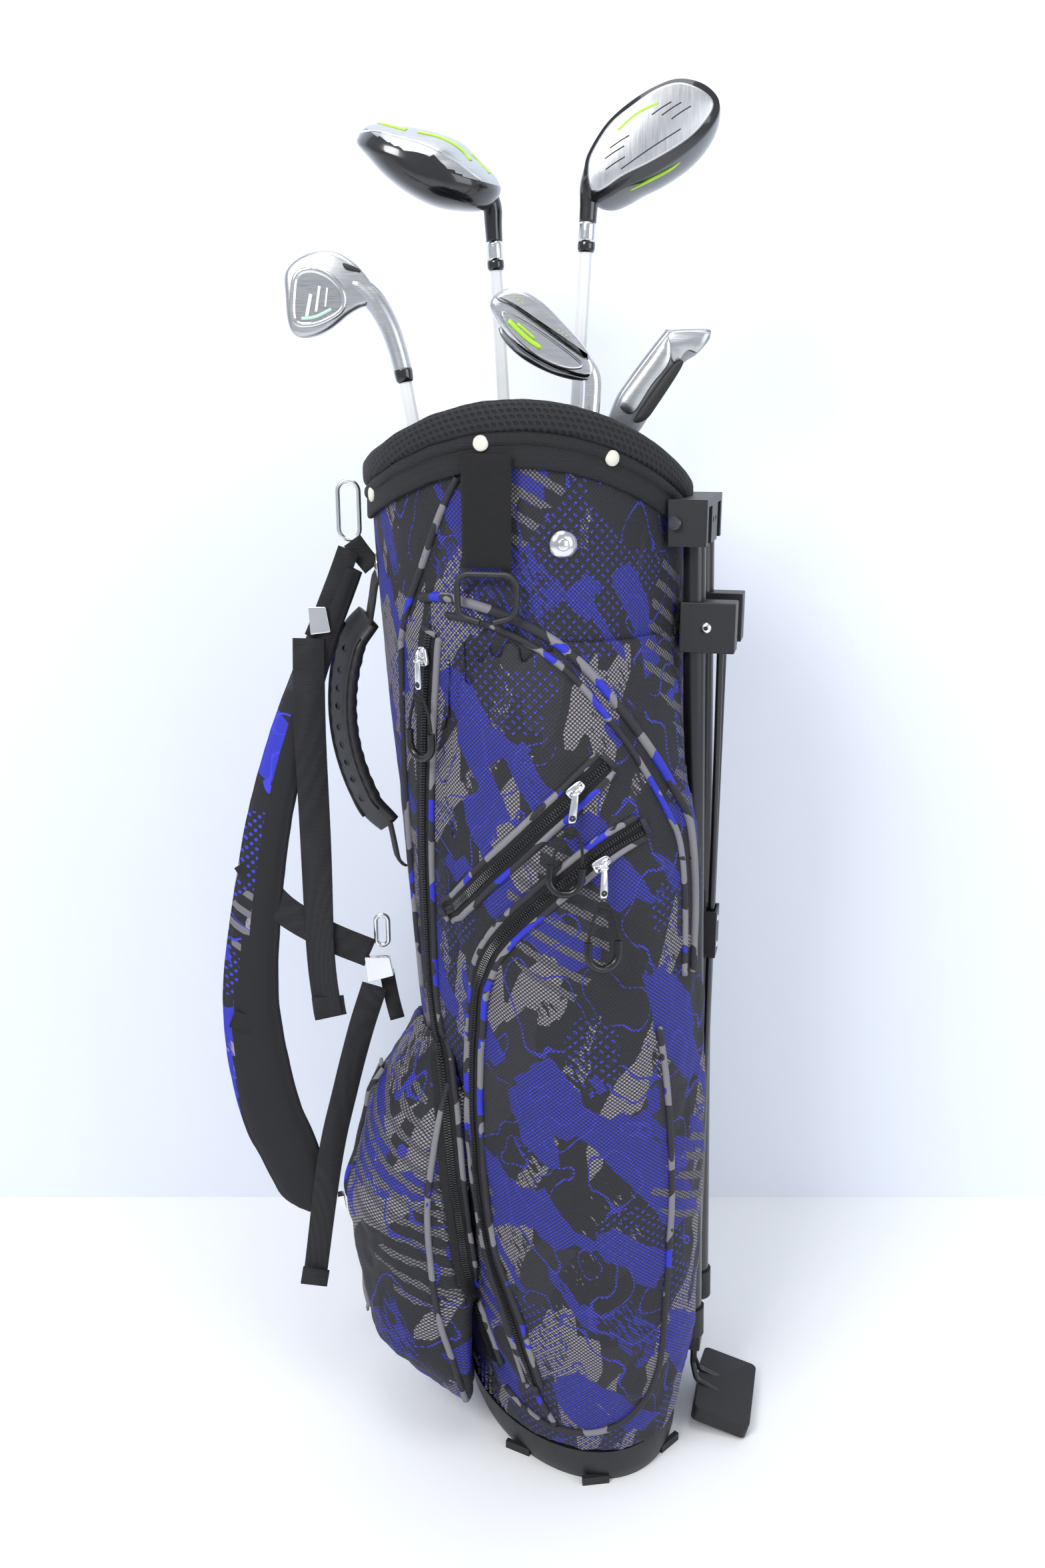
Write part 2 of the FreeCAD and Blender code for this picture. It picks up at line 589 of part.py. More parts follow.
strap_hardware = node(group(
    oval_ring((-172, 770), size("ring_wide"), size("ring_tall"), size("ring_thick"), strap_y),
    oval_ring((-157, 436), 14, 30, 4, webbing_y + 8),
    plate([(-170, 418), (-150, 418), (-147, 402), (-168, 396)], "5", webbing_y - 4, "Adjuster"),
    plate([(-203, 700), (-190, 700), (-187, 681), (-202, 679)], "5", webbing_y - 4, "Adjuster")),
    "strap_hardware")

# glove tab on the rim and the D-ring that hangs from it
TAB_ANGLE, TAB_UP = -104, 740
tab_at = tube.skin(TAB_ANGLE, TAB_UP, size("skin_gap") + size("band_thick") + 3)
tab_frame = Placement(tab_at, Rotation(Vector(0, 0, 1), TAB_ANGLE + 90))
glove_tab = node(box("34", "2.6", "74", tab_frame.multiply(Placement(Vector(-17, -2.9, 0), Rotation()))),
                 "glove_tab")
d_route = [Vector(5, 0, -36), Vector(20, 0, -32), Vector(21, 0, -4), Vector(-21, 0, -4),
           Vector(-20, 0, -32), Vector(-5, 0, -36)]
d_shape = sweep(d_route, 4.4, radii=9)
d_shape.Placement = tab_frame.multiply(Placement(Vector(0, -2.6, 0), Rotation()))
d_ring = node(solid(d_shape), "d_ring")
print("d_ring pivot", tab_frame.multVec(Vector(0, -2.6, -4)), "axis", tab_frame.Rotation.multVec(Vector(1, 0, 0)))

# ---------------------------------------------------------------- zips
PULLS = {  # form, sideways lean of the pull, then angle and height where the slider rests and stops
    "long": (tube, -3, 229, 676, 229, 446),
    "upper": (front, -14, -84, 591, -100, 563),
    "lower": (front, -8, -79, 538, -63, 555),
}
tapes = []


def zip_frame(form, angle, up, end_angle, end_up):
    """Where a slider rests: +X out of the bag, +Z back along the zip."""
    start, end = form.skin(angle, up), form.skin(end_angle, end_up)
    travel = end.sub(start)
    level = form.skin(angle + 2, up).sub(form.skin(angle - 2, up))
    rise = form.skin(angle, up + 4).sub(form.skin(angle, up - 4))
    out = level.cross(rise)
    out.normalize()
    back = travel * -1
    back.normalize()
    out = out.sub(back * out.dot(back))
    out.normalize()
    return Placement(start, Rotation(out, Vector(), back, "XZY")), travel, out, rise


def tape_and_slider(form, rest, name):
    frame, travel, out, rise = zip_frame(form, *rest)
    stand_off, thick = size("zip_standoff"), size("slider_thick")
    slider = box("Sizes.slider_thick", "Sizes.slider_wide", "Sizes.slider_long", frame.multiply(
        Placement(Vector(stand_off, -size("slider_wide") / 2, -size("slider_long") / 2), Rotation())))
    node(slider, name)
    tape = box("Sizes.tape_thick", "Sizes.tape_wide", f"{travel.Length + 2 * size('slider_long')}",
               frame.multiply(Placement(Vector(stand_off - 0.4 - size("tape_thick"), -size("tape_wide") / 2,
                                               -travel.Length - size("slider_long")), Rotation())))
    tapes.append(tape)
    print(name, "travel", travel, "m", round(travel.Length, 2))
    return frame, out, rise


for name, (form, lean, *rest) in PULLS.items():
    frame, out, rise = tape_and_slider(form, rest, f"{name}_zip_slider")
    rise.normalize()
    across = rise.cross(out)
    across.normalize()
    out = across.cross(rise)
    hang = Placement(frame.Base.add(out * size("pull_out")), Rotation(out, across, rise, "ZXY")).multiply(
        Placement(Vector(), Rotation(Vector(1, 0, 0), lean)))
    print(name, "pull pivot", hang.Base, "axis", across)
    tab = box("Sizes.tab_thick", "Sizes.tab_wide", "Sizes.tab_long", hang.multiply(
        Placement(Vector(-size("tab_thick") / 2, -size("tab_wide") / 2, 1 - size("tab_long")), Rotation())))
    node(tab, f"{name}_zip_tab")
    knot = -size("tab_long") - 1
    radius, cord = size("grip_radius"), size("pull_cord")
    half = [(2.2, knot - cord), (6, knot - cord - 6), (9.5, knot - cord - 16), (radius, knot - cord - 26)]
    route = [Vector(0, -y, z) for y, z in half[::-1]] + [Vector(0, y, z) for y, z in half]
    cord_shape = sweep(route, cord, label=f"{name}_zip_cord")
    cord_shape.Placement = hang
    node(solid(cord_shape), f"{name}_zip_cord")
    low = half[-1][1]
    bend = doc.addObject("Part::Torus", "Bend")
    bind(bend, Radius1="Sizes.grip_radius", Radius2="Sizes.grip_thick / 2")
    bend.Angle3 = 180
    bend.Placement = hang.multiply(Placement(Vector(0, 0, low - 9), Rotation(Vector(0, 0, 1), 90)).multiply(
        Placement(Vector(), Rotation(Vector(1, 0, 0), -90))))
    sides = [cylinder("Sizes.grip_thick / 2", "8.7", hang.multiply(Placement(Vector(0, y, low - 9), Rotation())))
             for y in (-radius, radius)]
    node(fuse(bend, *sides), f"{name}_zip_grip")

tape_and_slider(side, (190, 205, 190, 112), "side_zip_slider")
node(cut(cut(cut(group(*tapes), keep_clear), side_clear), side.loft(0.3)), "zip_tapes")

# ---------------------------------------------------------------- clubs
CLUBS = {  # top of the neck and grip end: x, y, up, and grip end x, y
    "driver": (-64, 74, 958, -10, 75),
    "fairway_wood": (4, 30, 966, -45, 20),
    "iron": (-127, -30, 868, 24, -34),
    "wedge": (4, -50, 838, 10, -68),
    "putter": (32, -25, 838, 36, 12),
}
IRON_BLADE = [(-66, 78), (-51, 86), (-33, 85), (-20, 76), (-11, 64), (-4, 48), (3, 28), (6, 4), (-6, 3),
              (-12, 32), (-20, 47), (-30, 44), (-44, 36), (-57, 33), (-68, 35), (-72, 44)]
WEDGE_BLADE = [(-69, 74), (-57, 82), (-45, 81), (-31, 72), (-13, 55), (0, 40), (5, 28), (6, 2), (-6, 2),
               (-5, 12), (-4, 24), (-14, 27), (-29, 32), (-45, 41), (-57, 52), (-66, 65)]
PUTTER_BLADE = [(-7, 12), (25, 57), (55, 57), (55, 50), (47, 40), (38, 34), (20, 9), (14, -2), (2, -4)]


def blade(outline, thick, y):
    return plate(outline, str(thick), y, "Blade")


def wood(long, deep, tall, x, y, up, tilt, face):
    """A hollow wood's outside: ovals stacked through its depth, ending in a flat face."""
    place = Placement(Vector(x, y, up), Rotation(Vector(0, 1, 0), tilt))
    ovals = []
    for share in (-0.97, -0.86, -0.65, -0.35, 0, 0.3, 0.55, 0.78):
        reach = math.sqrt(1 - share * share)
        oval = doc.addObject("Part::Ellipse", "Oval")
        oval.MajorRadius, oval.MinorRadius = long * reach, tall * reach
        oval.Placement = place.multiply(
            Placement(Vector(0, face * deep * share, 0), Rotation(Vector(1, 0, 0), 90)))
        ovals.append(oval)
    obj = doc.addObject("Part::Loft", "Wood")
    obj.Sections, obj.Solid, obj.Ruled = ovals, True, True
    return obj


HEADS = {
    "driver": lambda: wood(56, 45, 25, -41, -22, 57, 25, 1),
    "fairway_wood": lambda: wood(46, 34, 22, 36, 18, 57, -27, -1),
    "iron": lambda: blade(IRON_BLADE, 14, 0),
    "wedge": lambda: blade(WEDGE_BLADE, 16, 0),
    "putter": lambda: blade(PUTTER_BLADE, 22, -4),
}
NECK_UP = {"driver": 46, "fairway_wood": 46, "iron": 24, "wedge": 24, "putter": 12}
for name, (x, y, up, grip_x, grip_y) in CLUBS.items():
    butt, neck = Vector(grip_x, grip_y, size("club_floor")), Vector(x, y, up)
    frame, long = along(butt, neck), neck.sub(butt).Length
    shaft = doc.addObject("Part::Cone", "Shaft")
    bind(shaft, Radius1="Sizes.shaft_butt / 2", Radius2="Sizes.shaft_tip / 2", Height=f"{long - 4}")
    shaft.Placement = frame.multiply(Placement(Vector(0, 0, 4), Rotation()))
    node(shaft, f"{name}_shaft")
    grip = doc.addObject("Part::Cone", "Grip")
    bind(grip, Radius1="Sizes.club_grip_butt / 2", Radius2="Sizes.club_grip_tip / 2",
         Height="Sizes.grip_long")
    grip.Placement = frame
    node(cut(grip, shaft), f"{name}_grip")
    neck_round = cylinder("Sizes.neck_diameter / 2", f"{NECK_UP[name] + 24}",
                          Placement(Vector(0, 0, -24), Rotation()))
    head = fuse(HEADS[name](), neck_round)
    head.Placement = frame.multiply(Placement(Vector(0, 0, long), Rotation()))
    node(cut(head, shaft), f"{name}_head")
    print(name, "axis", neck.sub(butt).normalize(), "long", round(long, 1))

# ---------------------------------------------------------------- checks and export
doc.recompute()
for obj in doc.Objects:
    if "Invalid" in obj.State or "Error" in obj.State:
        raise RuntimeError(f"{obj.Name} did not build: {obj.State}")
os.makedirs("parts", exist_ok=True)
for piece in NODES:
    if piece.Shape.isNull() or not piece.Shape.isValid() or not piece.Shape.Solids:
        raise RuntimeError(f"{piece.Label} has no valid solid")
    piece.Shape.exportStep(f"parts/{piece.Label}.step")
print(len(NODES), "nodes")
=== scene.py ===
# %% [markdown]
# # A junior stand bag and five golf clubs, dressed in Blender
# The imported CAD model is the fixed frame: every length below is in metres in its own axes, with
# the bag's base on Z = 0, the pockets towards -Y and the stand towards +X. The sections go
# frame, materials, shapes, skin and pockets, seams and zips, mouth, straps, pulls, clubs, stage.

# %% Load the frame
import json
import math

import bpy
import bmesh
import numpy as np
from mathutils import Matrix, Vector, noise
from mathutils.bvhtree import BVHTree


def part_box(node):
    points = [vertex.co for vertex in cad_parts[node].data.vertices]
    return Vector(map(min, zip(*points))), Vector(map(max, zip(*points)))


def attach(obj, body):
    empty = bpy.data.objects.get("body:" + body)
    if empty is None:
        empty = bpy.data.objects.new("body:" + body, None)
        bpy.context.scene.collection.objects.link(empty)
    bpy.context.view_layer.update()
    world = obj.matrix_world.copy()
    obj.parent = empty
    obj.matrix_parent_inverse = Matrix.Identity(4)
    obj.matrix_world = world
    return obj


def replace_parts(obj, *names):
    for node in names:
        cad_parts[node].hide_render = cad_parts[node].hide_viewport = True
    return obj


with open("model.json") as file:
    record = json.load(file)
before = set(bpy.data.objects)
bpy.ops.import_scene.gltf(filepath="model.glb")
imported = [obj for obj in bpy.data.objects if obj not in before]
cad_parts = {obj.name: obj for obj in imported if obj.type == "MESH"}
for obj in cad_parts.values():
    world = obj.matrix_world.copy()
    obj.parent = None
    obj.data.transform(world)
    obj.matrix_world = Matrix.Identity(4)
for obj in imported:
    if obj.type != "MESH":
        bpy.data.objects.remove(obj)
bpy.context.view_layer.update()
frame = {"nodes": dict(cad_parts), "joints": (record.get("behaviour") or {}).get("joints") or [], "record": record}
NODES = frame["nodes"]

# %% [markdown]
# ## Sockets that add and multiply
# A material is easier to read as arithmetic. `Wire` holds one output socket, and +, -, * and the
# comparisons each add one Math node. Colours go through a Mix node, since a Math node would turn
# them grey.


# %% The socket class
class Wire:
    """One output socket of a material's nodes, used like a number."""

    def __init__(self, finish, socket):
        self.finish, self.socket = finish, socket

    def math(self, operation, other=0.0, swap=False):
        pair = (other, self) if swap else (self, other)
        return self.finish.node("ShaderNodeMath", dict(enumerate(pair)), operation=operation)

    def __add__(self, other): return self.math("ADD", other)
    def __radd__(self, other): return self.math("ADD", other)
    def __sub__(self, other): return self.math("SUBTRACT", other)
    def __rsub__(self, other): return self.math("SUBTRACT", other, swap=True)
    def __mul__(self, other): return self.math("MULTIPLY", other)
    def __rmul__(self, other): return self.math("MULTIPLY", other)
    def __gt__(self, other): return self.math("GREATER_THAN", other)
    def __lt__(self, other): return self.math("LESS_THAN", other)

    def wave(self, period):
        """-1 to 1, once in each period."""
        return (self * (2 * math.pi / period)).math("SINE")

    def within(self, centre, half):
        """1 where this is within half of centre."""
        return (self - centre).math("ABSOLUTE") < half

    def ramp(self, low, high):
        """A smooth step from 0 at low to 1 at high."""
        values = dict(enumerate((self, low, high)))
        return self.finish.node("ShaderNodeMapRange", values, interpolation_type="SMOOTHSTEP")

    def choose(self, off, on):
        """The colour off where this is 0, and on where it is 1."""
        return self.finish.node("ShaderNodeMix", {0: self, 6: off, 7: on}, out=2, data_type="RGBA")


print("wires ready")

# %% [markdown]
# `Finish` starts a material with the object's own place as x, y and z, and closes it on the
# Principled shader. One method, `node`, makes every node, so a finish reads as one expression.


# %% The finish class
class Finish:
    """A material made of wires."""

    def __init__(self, name, rough=0.5, metal=0.0, coat=0.0, sheen=0.0):
        self.made = bpy.data.materials.new(name)
        self.made.use_nodes = True
        self.tree = self.made.node_tree
        self.bsdf = self.tree.nodes["Principled BSDF"]
        self.bsdf.inputs["Roughness"].default_value = rough
        self.bsdf.inputs["Metallic"].default_value = metal
        self.bsdf.inputs["Coat Weight"].default_value = coat
        self.bsdf.inputs["Sheen Weight"].default_value = sheen
        self.place = self.node("ShaderNodeTexCoord", {}, out="Object")
        self.x, self.y, self.z = (self.node("ShaderNodeSeparateXYZ", {0: self.place}, out=i) for i in range(3))

    def feed(self, socket, value):
        if isinstance(value, Wire):
            self.tree.links.new(value.socket, socket)
        elif isinstance(value, (tuple, list)) and len(value) == 3 and socket.type == "RGBA":
            socket.default_value = (*value, 1)
        else:
            socket.default_value = value

    def node(self, kind, values, out=0, **settings):
        """Any node: its type, the values or wires of its sockets, and its settings, made first."""
        made = self.tree.nodes.new(kind)
        for name, value in settings.items():
            setattr(made, name, value)
        for socket, value in values.items():
            self.feed(made.inputs[socket], value)
        return Wire(self, made.outputs[out])

    def point(self, x, y, z=0.0):
        return self.node("ShaderNodeCombineXYZ", {0: x, 1: y, 2: z})

    def noise(self, scale, where=None, detail=3.0):
        values = {"Vector": where or self.place, "Scale": scale, "Detail": detail, "Roughness": 0.55}
        return self.node("ShaderNodeTexNoise", values)

    def cells(self, where, metric):
        """Two random numbers for each cell around scattered points."""
        colour = self.node("ShaderNodeTexVoronoi", {"Vector": where, "Scale": 1.0}, out="Color", distance=metric)
        return tuple(self.node("ShaderNodeSeparateColor", {0: colour}, out=i) for i in range(2))

    def done(self, colour, bump=None, depth=0.001, strength=0.5, rough=None):
        self.feed(self.bsdf.inputs["Base Color"], colour)
        if rough is not None:
            self.feed(self.bsdf.inputs["Roughness"], rough)
        if bump is not None:
            values = {"Strength": strength, "Distance": depth, "Height": bump}
            self.feed(self.bsdf.inputs["Normal"], self.node("ShaderNodeBump", values))
        return self.made


print("finish class ready")

# %% [markdown]
# ## The finishes
# The print wraps the bag: `around` is the distance round the leaning tube and `up` the height.
# Stretched cells make its shards, a second set its brushed shapes, and a third set switches
# dot grids, bars and thin lines on and off.


# %% Printed cloth
INK = (0.0055, 0.0055, 0.009)
BLUE = (0.020, 0.025, 0.44)
MAUVE = (0.27, 0.25, 0.275)


def print_colour(f, around, up):
    """The abstract print: shards, brushed shapes, dot grids, bars and thin lines."""
    bend = f.noise(9, f.point(around, up), detail=2)
    a = around + (bend - 0.5) * 0.03
    shard_a, _ = f.cells(f.point((a + up * 0.55) * 36, (up - a * 0.7) * 15), metric="CHEBYCHEV")
    brush_a, brush_b = f.cells(f.point((a - up * 0.35) * 36 + 5, (up + a * 0.2) * 13 + 3), metric="MANHATTAN")
    zone_a, zone_b = f.cells(f.point(around * 15 + 9, up * 12 + 2), metric="MANHATTAN")
    fray = f.noise(70, f.point((around + up * 0.5) * 5, (up - around) * 0.7), detail=4)
    mauve = (brush_a + (fray - 0.5) * 0.5) > 0.72
    blue = (shard_a + (fray - 0.5) * 0.30) > 0.70
    colour = mauve.choose(INK, MAUVE)
    colour = ((brush_b > 0.72) * (1 - mauve)).choose(colour, (0.020, 0.020, 0.026))
    colour = blue.choose(colour, BLUE)
    bars = ((up + around * 0.6).wave(0.017) > 0.35) * (zone_a > 0.86)
    colour = bars.choose(colour, (0.16, 0.15, 0.17))
    dots = (around.wave(0.0075) * up.wave(0.0075) > 0.45) * (zone_b > 0.74)
    colour = dots.choose(colour, (0.035, 0.042, 0.52))
    line = f.noise(13, f.point(around * 1.6, up), detail=1.5)
    thin = line.within(0.44, 0.0060).math("MAXIMUM", line.within(0.58, 0.0045))
    return (thin * (zone_b < 0.6)).choose(colour, (0.035, 0.040, 0.58))


def wrapped(f):
    """Distance round the leaning tube, and height."""
    round_it = (f.x + f.z * 0.05).math("ARCTAN2", f.y * -1)
    return round_it * 0.118, f.z


def netted_cloth(name):
    """Printed polyester wrapped round the bag, with a black open net over it."""
    f = Finish(name, rough=0.72)
    around, up = wrapped(f)
    net = ((around.wave(0.0030) + up.wave(0.0030)) * 0.5).math("ABSOLUTE")
    colour = (net > 0.42).choose((0.012, 0.012, 0.016), print_colour(f, around, up))
    return f.done(colour, bump=net * -1, depth=0.0006, strength=0.5)


def flat_cloth(name):
    """The same print laid flat, with a plain weave."""
    f = Finish(name, rough=0.72)
    around, up = f.x + f.y * 0.3, f.z
    weave = around.wave(0.0011) * up.wave(0.0011)
    return f.done(print_colour(f, around, up), bump=weave + f.noise(220) * 0.6, depth=0.0003, strength=0.35)


CLOTH_NET = netted_cloth("printed_cloth_net")
CLOTH_STRAP = flat_cloth("printed_cloth_strap")
print("cloth nodes:", len(CLOTH_NET.node_tree.nodes))

# %% [markdown]
# The other finishes are plainer. Four recipes make them: one colour with a fine grain, a net of
# holes for padding, diagonal rows for webbing, and fine lines along one direction for metal.


# %% Recipes for plain finishes
def plain(name, colour, rough, metal=0.0, coat=0.0, grain=0.0, scale=900, vary=0.06, sheen=0.0):
    """One colour with a fine grain, and a slow drift in roughness so that it isn't flat."""
    f = Finish(name, rough=rough, metal=metal, coat=coat, sheen=sheen)
    drift = f.noise(14, detail=4)
    tone = drift.ramp(0.3, 0.7).choose(tuple(c * 0.86 for c in colour), colour)
    return f.done(tone, bump=f.noise(scale) if grain else None, depth=grain or 0.001,
                  strength=0.4, rough=(drift - 0.5) * vary * 2 + rough)


def net_padding(name, colour, pitch):
    """Spacer mesh: rows of rounded holes, each row shifted by half a hole, with painted shade in the holes."""
    f = Finish(name, rough=0.8)
    around, up = wrapped(f)
    depth = up + f.y * 0.6
    row = (around + depth * 0.5).wave(pitch * 1.5) * depth.wave(pitch * 1.3)
    hole = row.math("ABSOLUTE").ramp(0.45, 0.8)
    # The holes are painted at 0.12 of the colour: painted shade inside them.
    tone = hole.choose(colour, tuple(c * 0.12 for c in colour))
    return f.done(tone, bump=hole * -1 + f.noise(700) * 0.15, depth=0.0016, strength=0.8)


def webbing(name, colour):
    """Woven tape: fine diagonal rows, with painted shade in the troughs between them."""
    f = Finish(name, rough=0.78)
    around, up = wrapped(f)
    row = (up + around).wave(0.0019) * (up - around).wave(0.0019)
    # The troughs between the rows, lowered by the bump, are painted at 0.45 of the colour as shade.
    tone = row.ramp(-0.6, 0.8).choose(tuple(c * 0.45 for c in colour), colour)
    return f.done(tone, bump=row, depth=0.0005, strength=0.6)


def brushed(name, colour, rough, stretch=(1, 1, 40), amount=0.12):
    """Metal with fine lines along one direction."""
    f = Finish(name, rough=rough, metal=1.0)
    lines = f.noise(60, f.point(f.x * stretch[0], f.y * stretch[1], f.z * stretch[2]), detail=6)
    tone = lines.ramp(0.25, 0.75).choose(tuple(c * 0.82 for c in colour), colour)
    return f.done(tone, bump=lines, depth=0.0002, strength=0.25, rough=(lines - 0.5) * amount * 2 + rough)


print("recipes ready")

# %% [markdown]
# Colours are kept dark for the blacks, because a pale room lifts them. The plain and brushed
# finishes vary in roughness, so that no surface of theirs is dead flat.

# %% The finishes by name
PAD_NET = net_padding("collar_net", (0.013, 0.013, 0.016), 0.0062)
BLACK_WEB = webbing("black_webbing", (0.014, 0.014, 0.017))
BLACK_TAPE = webbing("zip_tape", (0.008, 0.008, 0.010))
LOOP_PILE = plain("loop_pile", (0.006, 0.006, 0.007), 0.95, grain=0.0012, scale=1400, sheen=0.06)
MOULDED = plain("black_moulding", (0.012, 0.012, 0.014), 0.46, grain=0.0002, scale=1600)
GLOSS_MOULDED = plain("gloss_moulding", (0.008, 0.008, 0.009), 0.25)
RUBBER = plain("black_rubber", (0.013, 0.013, 0.014), 0.62, grain=0.0003, scale=1100)
TOOTH = plain("zip_tooth", (0.020, 0.020, 0.023), 0.34)
CORD = plain("black_cord", (0.008, 0.008, 0.009), 0.8, grain=0.0003, scale=2200)
COATED = plain("black_coated_metal", (0.008, 0.008, 0.009), 0.34, coat=0.3, grain=0.0002, scale=700)
PALE_SHAFT = plain("pale_shaft", (0.78, 0.79, 0.80), 0.30, coat=0.5)
CLUB_GRIP = plain("club_grip", (0.030, 0.030, 0.032), 0.75, grain=0.0005, scale=1300)
FERRULE = plain("black_ferrule", (0.010, 0.010, 0.011), 0.16, coat=0.6)
BRIGHT = plain("bright_metal", (0.83, 0.83, 0.84), 0.19, metal=1.0, vary=0.03)
CREAM = plain("cream_rivet", (0.74, 0.71, 0.62), 0.35)
CROWN = plain("black_crown", (0.012, 0.012, 0.014), 0.20, coat=0.6)
LIME = plain("lime_paint", (0.46, 0.78, 0.05), 0.35)
WHITE_MARK = plain("white_mark", (0.85, 0.86, 0.86), 0.4)
# Near-black finish for grooves, score lines and holes that are not cut: painted shade inside them.
GROOVE_SHADE = plain("painted_groove_shade", (0.02, 0.02, 0.02), 0.6)
SATIN = brushed("satin_steel", (0.60, 0.61, 0.62), 0.33)
FACE_STEEL = brushed("face_steel", (0.68, 0.69, 0.70), 0.36, stretch=(30, 30, 1))
POLISHED = brushed("polished_steel", (0.82, 0.83, 0.84), 0.13, amount=0.04)
GREY_STEEL = brushed("grey_steel", (0.36, 0.37, 0.39), 0.36)
LINING = plain("black_lining", (0.012, 0.012, 0.014), 0.9)
print("materials made:", len(bpy.data.materials))

# %% [markdown]
# CAD pieces that stay as they are take a finish by the slot that the record gives them.

# %% Finishes on the CAD nodes
CAD_FINISH = {
    "black_moulding": MOULDED, "black_rubber": RUBBER, "bright_metal": BRIGHT,
    "black_coated_metal": COATED, "black_cord": CORD, "pale_shaft": PALE_SHAFT,
    "club_grip": CLUB_GRIP, "black_head": CROWN, "satin_steel": SATIN,
    "polished_steel": POLISHED, "grey_steel": GREY_STEEL, "printed_fabric": CLOTH_NET,
    "spacer_mesh": PAD_NET, "black_webbing": BLACK_WEB,
}
slot_of = {row["node"]: row["material_slot"] for row in frame["record"]["subparts"]}
for name, node in NODES.items():
    node.data.materials.clear()
    node.data.materials.append(CAD_FINISH[slot_of[name]])
print("slots on CAD nodes:", len(slot_of))

# %% [markdown]
# ## Shapes
# Small builders: a mesh from points, a tube and a tape along a line, and the bag's own form. The
# tube of the bag is a stack of ovals that leans a little to -X; its mouth is cut by an arch.


# %% Builders
def piece(name, points, faces, finish, body, smooth=True):
    """A mesh object that rides a body."""
    made = bpy.data.meshes.new(name)
    made.from_pydata([tuple(p) for p in points], [], faces)
    made.validate()
    thing = bpy.data.objects.new(name, made)
    bpy.context.scene.collection.objects.link(thing)
    made.materials.append(finish)
    made.polygons.foreach_set("use_smooth", [smooth] * len(made.polygons))
    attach(thing, body)
    return thing


def flow(points, step=0.004):
    """A smooth line through points, cut into short even steps."""
    points = [Vector(p) for p in points]
    ends = [points[0] * 2 - points[1], *points, points[-1] * 2 - points[-2]]
    line = []
    for a, b, c, d in zip(ends, ends[1:], ends[2:], ends[3:]):
        count = max(2, int((c - b).length / step))
        for i in range(count):
            t = i / count
            line.append(0.5 * (2 * b + (c - a) * t + (2 * a - 5 * b + 4 * c - d) * t * t
                               + (3 * b - a - 3 * c + d) * t ** 3))
    return line + [points[-1]]


def frames(line, outs=None):
    """Direction, sideways and out at each point of a line."""
    result, last = [], None
    for i, here in enumerate(line):
        ahead = (line[min(i + 1, len(line) - 1)] - line[max(i - 1, 0)]).normalized()
        out = outs[i] if outs else last or ahead.orthogonal()
        out = (out - ahead * out.dot(ahead)).normalized()
        last = out
        result.append((ahead, ahead.cross(out), out))
    return result


def skinned(rings, count):
    """Faces between rings of count points, then the two end caps."""
    faces = [(i * count + j, i * count + (j + 1) % count, (i + 1) * count + (j + 1) % count, (i + 1) * count + j)
             for i in range(rings - 1) for j in range(count)]
    return faces + [tuple(range(count))[::-1], tuple(range((rings - 1) * count, rings * count))]


def swept(name, line, section, finish, body, outs=None, taper=None):
    """A section of (side, out) points carried along a line; taper scales it by the share of the way."""
    points = []
    for i, (here, (_, side, out)) in enumerate(zip(line, frames(line, outs))):
        grow = taper(i / max(1, len(line) - 1)) if taper else 1
        points += [here + side * a * grow + out * b * grow for a, b in section]
    return piece(name, points, skinned(len(line), len(section)), finish, body)


print("piece, flow, frames and swept ready")

# %% [markdown]
# The sections that are swept are few: a round bar, a tape with soft edges and an oval pushed
# towards a box. Joining keeps all the meshes of one piece in one object.


# %% Sections and joining
def boxed(value, power):
    """A cosine or sine pushed outwards, which turns an oval into a soft box."""
    return math.copysign(abs(value) ** power, value)


def round_section(radius, count=10):
    """The points of a round bar."""
    return [(radius * math.cos(2 * math.pi * i / count), radius * math.sin(2 * math.pi * i / count))
            for i in range(count)]


def tape_section(wide, thick, curl=0.3):
    """A flat section with softened edges, lying with its back on the line."""
    half, edge = wide / 2, thick * curl
    return [(-half, thick * 0.25), (-half + edge, 0), (half - edge, 0), (half, thick * 0.25),
            (half, thick * 0.75), (half - edge, thick), (-half + edge, thick), (-half, thick * 0.75)]


def join(things, name):
    """Several meshes of one body made into one object."""
    for thing in bpy.context.selected_objects:
        thing.select_set(False)
    for thing in things:
        thing.select_set(True)
    bpy.context.view_layer.objects.active = things[0]
    bpy.ops.object.join()
    things[0].name = name
    return things[0]


print("sections ready")

# %% [markdown]
# The bag is a fabric tube over a stiff frame, near to an oval at each height. A function that
# gives any point of it from an angle and a height lets the skin, the rim and the seams share one
# form; noise then adds the slack of cloth, which a plain loft of the CAD lacks.


# %% The bag's form and skin
OVALS = [(0.006, 0.121, 0.081), (0.130, 0.119, 0.095), (0.380, 0.113, 0.107),
         (0.600, 0.115, 0.1135), (0.900, 0.1175, 0.117)]
TURN = math.radians(-70)


def hull(angle, up, out=0.0):
    """The bag's side at an angle from +X and a height."""
    ups = [row[0] for row in OVALS]
    long = np.interp(up, ups, [row[1] for row in OVALS])
    short = np.interp(up, ups, [row[2] for row in OVALS])
    turned = angle - TURN
    radius = long * short / math.hypot(short * math.cos(turned), long * math.sin(turned)) + out
    return Vector((-0.05 * up + radius * math.cos(angle), radius * math.sin(angle), up))


def rim_up(angle, out=0.0):
    """Height of the mouth's arch on the side at an angle."""
    up = 0.8
    for _ in range(8):
        x = hull(angle, up, out).x + 0.046
        up = 0.657 + math.sqrt(max(0.165 ** 2 - x * x, 0.03 ** 2))
    return up


def lumps(spot, size, amount):
    """A smooth random height at a place."""
    return noise.fractal(Vector(spot) / size, 0.9, 2.0, 3) * amount


